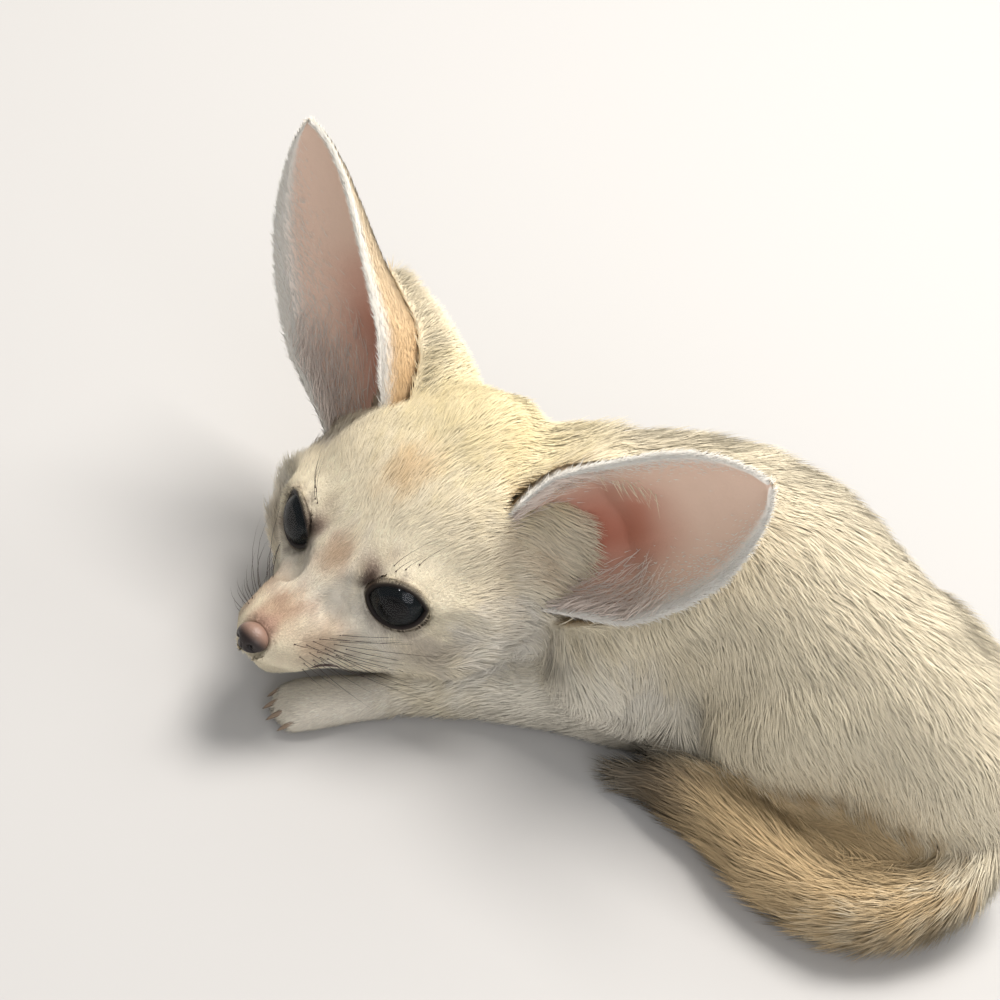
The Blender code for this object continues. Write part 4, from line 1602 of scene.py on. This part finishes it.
@dataclass
class Eye:
    """An eyeball with its iris and cornea, and the lids round it."""

    name: str
    side: int
    # Angles from the gaze to the edges of the pupil and the iris.
    pupil: float = 0.42
    iris: float = 0.95
    # The cornea stands this far off the round of the eyeball, and the eyeball lies under it.
    bulge: float = 0.3
    under_cornea: float = 7.95
    # Half the opening's width, its height over the gaze and its depth below it, one radius ahead.
    opening: Place = (1.4, 0.88, 0.82)
    slant: float = math.radians(10)
    rim_colour: str = "1d1512"
    iris_colour: str = "10171b"
    pupil_colour: str = "050607"
    beyond_iris: str = "0a0a0b"
    # Share of the opening and distance from the eyeball's middle, round the section of a lid.
    lid_section: Table = (
        (0.90, 7.9),
        (0.93, 8.3),
        (0.955, 8.6),
        (0.99, 8.75),
        (1.04, 8.85),
        (1.12, 8.85),
        (1.25, 8.75),
        (1.42, 8.5),
        (1.38, 7.7),
    )
    around: int = 72
    lid_hairs: int = 1800

    def __post_init__(self) -> None:
        """Places the eye."""
        self.centre, self.axes = HEAD.eye(self.side)

    def build(self, coat: BodyCoat) -> None:
        """Makes the eyeball, the cornea and the lids, and lets the coat run up to the lids' rims.

        Args:
            coat: The coat.
        """
        slopes = np.concatenate((np.linspace(0.02, 1.3, 44), np.linspace(1.36, math.pi - 0.05, 16)))
        bulge = self.bulge * smooth((self.iris - slopes) / 0.5)
        inner = self.under_cornea + bulge - 0.15 * smooth((self.pupil - slopes) / 0.05)
        form = globe(self.centre, self.axes, inner, slopes, 96)
        ball = closed_piece(f"eye_{self.name}_globe", form, Look.IRIS.value)
        paint(ball, self.colours(form[0]))
        form = globe(self.centre, self.axes, EYE_RADIUS + bulge, slopes, 64)
        cornea = closed_piece(f"eye_{self.name}_cornea", form, Look.CORNEA.value)
        points, faces = self.lids()
        lids = closed_piece(f"eye_{self.name}_lids", (points, faces), Look.LID.value)
        section = np.repeat(np.array([share for share, _ in self.lid_section]), self.around)
        # The rim is dark lid skin; past it the lid takes the coat's colours darkened to 0.8, as painted shade
        # between its hairs.
        dark = smooth((1.3 - section) / 0.32)[:, None] ** 0.7
        paint(lids, linear(self.rim_colour) * dark + markings(points) * 0.8 * (1 - dark))
        _, triangles, normals = mesh_arrays(lids.data)
        outer = Surface(points, triangles, normals)
        ahead = points[triangles].mean(1) @ self.axes[0] > self.centre @ self.axes[0]
        furred = (section[triangles].min(1) > 0.98) & ahead
        roots = scatter(outer, furred.astype(float), self.lid_hairs, 7)
        coat.grow(f"lid_{self.name}", NAP, roots, LID_LIE)
        for piece in (ball, cornea, lids):
            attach(piece, "root")
        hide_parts(f"eye_{self.name}")

    def colours(self, points: Array) -> Array:
        """A black pupil, a very dark brown iris and dark tissue round it.

        Args:
            points: Plan places on the eyeball.

        Returns:
            Linear colours.
        """
        slope = np.arccos(np.clip(unit(points - self.centre) @ self.axes[0], -1, 1))
        inside = smooth((self.pupil + 0.1 - slope) / 0.2)[:, None]
        beyond = smooth((slope - self.iris + 0.15) / 0.2)[:, None]
        colour = linear(self.iris_colour) * (1 - inside) + linear(self.pupil_colour) * inside
        return colour * (1 - beyond) + linear(self.beyond_iris) * beyond

    def lids(self) -> Form:
        """A ring of lid skin: its section runs from the eyeball over a rounded rim to the face.

        At angle a the opening's edge lies wide * cos(a) out and high * sin(a) up from the gaze,
        on a plane one radius ahead, and the section's shares scale that.

        Returns:
            Points and faces.
        """
        turn = circle(self.around)
        wide, high, low = self.opening
        pinch = 0.35 + 0.5 * smooth(np.cos(turn))
        tall = np.where(np.sin(turn) > 0, high, low) * np.sin(turn) * np.abs(np.sin(turn)) ** pinch
        flat = wide * np.cos(turn)
        c, s = math.cos(self.slant), math.sin(self.slant)
        flat, tall = flat * c - tall * s, flat * s + tall * c
        shares, reaches = np.array(self.lid_section).T
        gaze, out, up = self.axes
        rays = gaze + shares[:, None, None] * (flat[:, None] * out + tall[:, None] * up)[None]
        points = (self.centre + unit(rays) * reaches[:, None, None]).reshape(-1, 3)
        return points, [ring_faces(len(shares), self.around, True)]


@dataclass(frozen=True)
class Nose:
    """The bare nose pad: an egg with two comma nostrils and the groove between them."""

    centre: Place = (25.5, 0.0, -8.2)
    radii: Place = (3.3, 3.9, 3.3)
    # How much narrower the pad is at its foot.
    narrowing: float = 0.28
    # Dents, as shares of the radii: each nostril's place across and up, half width, half height and
    # depth, the depth of the slit under it, and the width and depth of the groove between them.
    nostril: tuple[float, ...] = (0.52, 0.02, 0.19, 0.24, 0.42)
    slit_depth: float = 0.28
    groove: tuple[float, float] = (0.06, 0.12)
    top_colour: str = "917567"
    under_colour: str = "241a19"
    # Painted shade in the dents of the nostrils, slits and groove.
    dent_shade_colour: str = "0f0808"

    def build(self) -> None:
        """Makes the pad; dents are sunk along the normal by bell curves of the place."""
        slopes = np.linspace(0.02, math.pi - 0.02, 90)
        points, faces = globe(np.zeros(3), np.eye(3), np.ones(len(slopes)), slopes, 120)
        y, z = points[:, 1], points[:, 2]
        dent = np.zeros(len(points))
        out, up, wide, tall, deep = self.nostril
        for side in (-1, 1):
            across, high = y - side * out, z - up
            dent += deep * np.exp(-((across / wide) ** 2) - (high / tall) ** 2)
            slit = high + 0.25 + 0.5 * (side * across)
            dent += self.slit_depth * np.exp(-((slit / 0.1) ** 2) - ((side * across - 0.22) / 0.25) ** 2)
        wide, deep = self.groove
        dent += deep * np.exp(-((y / wide) ** 2)) * smooth((0.35 - z) / 0.4)
        dent *= smooth(points[:, 0] / 0.25 + 0.3)
        shaped = points * (1 - dent)[:, None] * self.radii
        shaped[:, 1] *= 1 - self.narrowing * smooth((-z - 0.1) / 0.9)
        placed = HEAD.to_plan(shaped + np.array(self.centre))
        pad = closed_piece("nose_pad", (placed, faces), Look.NOSE.value)
        top = smooth((0.3 - points[:, 0] + 0.8 * z) / 1.1)[:, None]
        base = linear(self.under_colour) * (1 - top) + linear(self.top_colour) * top
        # Painted shade: the nostrils, the slits and the groove are darkened by the depth of their dents.
        deep = np.clip(dent * 2.6, 0, 1)[:, None]
        paint(pad, base * (1 - deep) + linear(self.dent_shade_colour) * deep)
        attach(pad, "root")
        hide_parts("nose")


# Lines to the muzzle's side start this far from the head's middle.
BESIDE = 40.0


def find_skin(tree: BVHTree, start: tuple, goal: tuple, reach: float) -> Vector | None:
    """Where a straight line in the head first meets the skin.

    Args:
        tree: The skin's search tree.
        start: Where the line starts, in the head.
        goal: A place that it heads for.
        reach: How far it is followed.

    Returns:
        The plan place, or None where it misses.
    """
    begin = HEAD.to_plan(start)
    return tree.ray_cast(Vector(begin), Vector(unit(HEAD.to_plan(goal) - begin)), reach)[0]


@dataclass(frozen=True)
class Mouth:
    """The dark line of the lips along each side of the muzzle."""

    # Places forward and up in the head, from the nose to the corner of the mouth.
    line: Table = (
        (30.0, -14.4),
        (27.0, -15.2),
        (23.0, -16.2),
        (19.0, -17.4),
        (15.0, -17.9),
        (11.0, -17.8),
        (7.0, -17.4),
        (4.0, -16.8),
    )
    thickness: float = 0.75

    def build(self, tree: BVHTree) -> None:
        """Lays a thin tapering roll on the skin along the mouth.

        Args:
            tree: The skin's search tree.
        """
        knots = np.array(self.line)
        steps = np.linspace(0, len(knots) - 1, 40)
        x, z = (np.interp(steps, np.arange(len(knots)), knots[:, k]) for k in (0, 1))
        for name, side in SIDES.items():
            hits = [
                find_skin(tree, (forward, side * BESIDE, height), (forward, 0.0, height), BESIDE)
                for forward, height in zip(x, z)
            ]
            centres = np.array([hit for hit in hits if hit is not None])
            kernel = np.hanning(11)[1:-1] / np.hanning(11).sum()
            centres = np.stack([np.convolve(row, kernel, "valid") for row in centres.T], 1)
            radius = self.thickness / 2 * np.sin(np.linspace(0.25, math.pi - 0.1, len(centres))) ** 0.5
            lip = closed_piece(f"lip_{name}", tube(centres, radius, 10), Look.LIP.value)
            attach(lip, "root")


@dataclass(frozen=True)
class Whiskers:
    """Stiff dark whiskers on the muzzle and over the eyes."""

    form: Strands = Strands(((0.0, 1.0), (0.15, 0.95), (0.35, 0.8), (0.55, 0.6), (0.78, 0.35)), 5, 1.0)
    spot: Strands = Strands(((0.0, 1.0), (0.6, 0.7)), 6, 1.0)
    rows: int = 4
    in_row: int = 6
    on_brow: int = 4
    width: float = 0.13
    # How far roots stray from their rows, and the least height of a whisker over the floor.
    uneven: float = 0.3
    over_floor: float = 0.4
    # The dark spot that each whisker stands in: its height and width.
    pore: tuple[float, float] = (0.4, 0.42)

    def build(self, tree: BVHTree) -> None:
        """Roots the whiskers on the skin and lets them sweep back and down.

        Args:
            tree: The skin's search tree.
        """
        dice = np.random.default_rng(12)
        roots, ways, bends, lengths = [], [], [], []
        for side in SIDES.values():
            for row in range(self.rows):
                for number in range(self.in_row):
                    forward = 20.0 - 2.0 * number - 0.6 * row + dice.normal() * self.uneven
                    height = -7.6 - 2.1 * row + dice.normal() * self.uneven
                    hit = find_skin(tree, (forward, side * BESIDE, height), (forward, 0, height), BESIDE)
                    if hit is None:
                        continue
                    roots.append(hit)
                    ways.append((-0.15 - 0.13 * number, side * 0.9, 0.2 - 0.22 * row + dice.normal() * 0.13))
                    bends.append((-0.35, -side * 0.1, -0.2 + dice.normal() * 0.1))
                    lengths.append((10 + 5.0 * number) * dice.uniform(0.6, 1.2))
            for number in range(self.on_brow):
                forward, height = -2.0 - 1.2 * number, 9.5 + dice.normal() * 0.6
                out = side * (12.0 + 1.2 * number)
                hit = find_skin(tree, (forward + 30.0, out, height + 8.0), (forward, out, height - 2.0), 60.0)
                if hit is None:
                    continue
                roots.append(hit)
                ways.append((0.1, side * 0.35, 0.9))
                bends.append((-0.6, side * 0.1, -0.1))
                lengths.append(dice.uniform(6, 12))
        turn = HEAD.axes()
        count = len(roots)
        hairs = Hairs(
            np.array(roots),
            unit(np.array(ways)) @ turn,
            np.array(bends) @ turn,
            np.array(lengths),
            np.full(count, self.width),
            np.tile(UP, (count, 1)),
        )
        points, faces, _, _ = self.form.build(hairs)
        points[:, 2] = np.maximum(points[:, 2], self.over_floor)
        whiskers = new_piece("whiskers", points, faces, Look.WHISKER.value)
        long, wide = (np.full(count, size) for size in self.pore)
        spots = replace(hairs, bends=hairs.bends * 0, lengths=long, widths=wide)
        points, faces, _, _ = self.spot.build(spots)
        pores = new_piece("whisker_pores", points, faces, Look.LIP.value)
        for piece in (whiskers, pores):
            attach(piece, "root")


@dataclass(frozen=True)
class Claws:
    """Four small blunt claws on each paw."""

    form: Strands = Strands(((0.0, 1.0), (0.3, 0.9), (0.6, 0.7), (0.85, 0.4)), 8, 1.4)
    length: float = 4.2
    width: float = 1.4
    # Each toe's place across, as a share of the half width, and how far it reaches.
    toe_places: Table = ((-1.0, 0.8), (-1 / 3, 2.6), (1 / 3, 2.6), (1.0, 0.8))
    # Heel and toes of each paw in the plan, and its half width and height.
    paws: tuple = (
        ((26, 7), (4.5, -4.0), 7.4, 5.2),
        ((28, 57.5), (8, 49), 7.4, 5.2),
        ((148, 4.5), (116, 0.5), 6.6, 5.0),
        ((152, 40), (121, 57), 6.6, 5.0),
    )

    def build(self) -> None:
        """Sets the claws at the toes' ends; each curves down to the floor."""
        roots, ways = [], []
        for heel, toes, wide, high in self.paws:
            ahead = np.array(toes, float) - heel
            length = np.linalg.norm(ahead)
            ahead /= length
            aside = np.array((-ahead[1], ahead[0]))
            for spread, reach in self.toe_places:
                place = heel + ahead * (length + reach - 1.6) + aside * spread * 0.68 * wide
                roots.append((*place, 0.8 * high))
                ways.append((*ahead, -0.1))
        count = len(roots)
        roots, ways = np.array(roots), unit(np.array(ways))
        bends = np.tile((0.0, 0.0, -0.45), (count, 1))
        lengths, widths = np.full(count, self.length), np.full(count, self.width)
        hairs = Hairs(roots, ways, bends, lengths, widths, np.tile(UP, (count, 1)))
        points, faces, _, _ = self.form.build(hairs)
        claws = new_piece("claws", points, faces, Look.CLAW.value)
        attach(claws, "root")


# Stage


@dataclass(frozen=True)
class Lamp:
    """A soft square lamp."""

    name: str
    place: Place
    size: float
    power: float
    colour: str = "ffffff"

    def build(self, aim: Vector) -> None:
        """Hangs the lamp and turns it to the animal.

        Args:
            aim: The place that it faces, in the frame.
        """
        data = bpy.data.lights.new(self.name, "AREA")
        data.shape = "SQUARE"
        data.size = self.size
        data.energy = self.power
        data.color = linear(self.colour)
        lamp = bpy.data.objects.new(self.name, data)
        bpy.context.scene.collection.objects.link(lamp)
        lamp.location = self.place
        lamp.rotation_euler = (aim - Vector(self.place)).to_track_quat("-Z", "Y").to_euler()


# Places in the frame, sizes in metres and watts: a high key from behind, a broad cool fill from the
# front, a small lamp for the glint in the eyes and a soft light on the back.
LAMPS = (
    Lamp("key", (0.15, 0.38, 1.0), 0.5, 14.0, "fffaf4"),
    Lamp("fill", (0.4, -0.9, 0.6), 0.8, 3.9, "f8f9ff"),
    Lamp("catch", (-0.22, -0.5, 0.72), 0.06, 0.25, "ffffff"),
    Lamp("back", (0.6, 0.7, 0.7), 0.6, 3.5, "fffdf8"),
)


@dataclass(frozen=True)
class Studio:
    """A pale floor, soft light and the photograph's camera."""

    place: Place = (38.14, -346.75, 391.68)
    right: Place = (0.96449, 0.17763, 0.19546)
    up: Place = (-0.26412, 0.64806, 0.71432)
    back: Place = (0.00021, -0.74058, 0.67197)
    focus: float = 2311.0
    picture: float = 1000.0
    sensor: float = 36.0
    floor_reach: float = 3000.0
    sky_colour: str = "f4f2ee"
    sky_strength: float = 0.42
    # The lamps face the animal's middle, in the frame.
    aim: Place = (0.0, 0.0, 0.03)

    def build(self) -> None:
        """Makes the floor, the lamps, the sky and the camera."""
        points = np.array(((-1, -1, 0), (1, -1, 0), (1, 1, 0), (-1, 1, 0)), float) * self.floor_reach
        points[:, :2] += PLAN.shift[:2]
        ground = new_piece("floor", points, [np.array([[0, 1, 2, 3]])], Look.FLOOR.value)
        ground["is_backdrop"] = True
        for lamp in LAMPS:
            lamp.build(Vector(self.aim))
        world = bpy.data.worlds.new("studio")
        world.use_nodes = True
        sky = world.node_tree.nodes["Background"]
        sky.inputs["Color"].default_value = (*linear(self.sky_colour), 1.0)
        sky.inputs["Strength"].default_value = self.sky_strength
        bpy.context.scene.world = world
        data = bpy.data.cameras.new("camera")
        data.sensor_width = self.sensor
        data.lens = self.sensor * self.focus / self.picture
        data.clip_start, data.clip_end = 0.01, 20.0
        camera = bpy.data.objects.new("camera", data)
        turn = Matrix(np.array((self.right, self.up, self.back)).T.tolist())
        camera.matrix_world = Matrix.Translation(PLAN.to_row(np.array(self.place)).tolist()) @ turn.to_4x4()
        bpy.context.scene.collection.objects.link(camera)
        bpy.context.scene.camera = camera
        bpy.context.scene.view_settings.view_transform = "Standard"


# Tufts of the body's coat: bent ones and short straight ones.
LONG_TUFTS = 26000
SHORT_TUFTS = 235000


def main() -> None:
    """Builds the animal and its studio and reports each piece."""
    logging.basicConfig(level=logging.INFO, format="%(message)s")
    log = logging.getLogger("fennec")
    density = 1.0
    skin = Skin().build()
    coat = BodyCoat(skin, int(LONG_TUFTS * density), int(SHORT_TUFTS * density))
    log.info("coat: %d tufts", coat.build())
    for ear in EARS:
        ear.coat(*ear.build())
    for name, side in SIDES.items():
        Eye(name, side).build(coat)
    Nose().build()
    tree = skin.tree()
    Mouth().build(tree)
    Whiskers().build(tree)
    Claws().build()
    Studio().build()
    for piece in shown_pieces():
        sizes = np.zeros(len(piece.data.polygons), np.int32)
        piece.data.polygons.foreach_get("loop_total", sizes)
        log.info("%s: %d triangles", piece.name, (sizes - 2).sum())


if __name__ == "__main__":
    main()
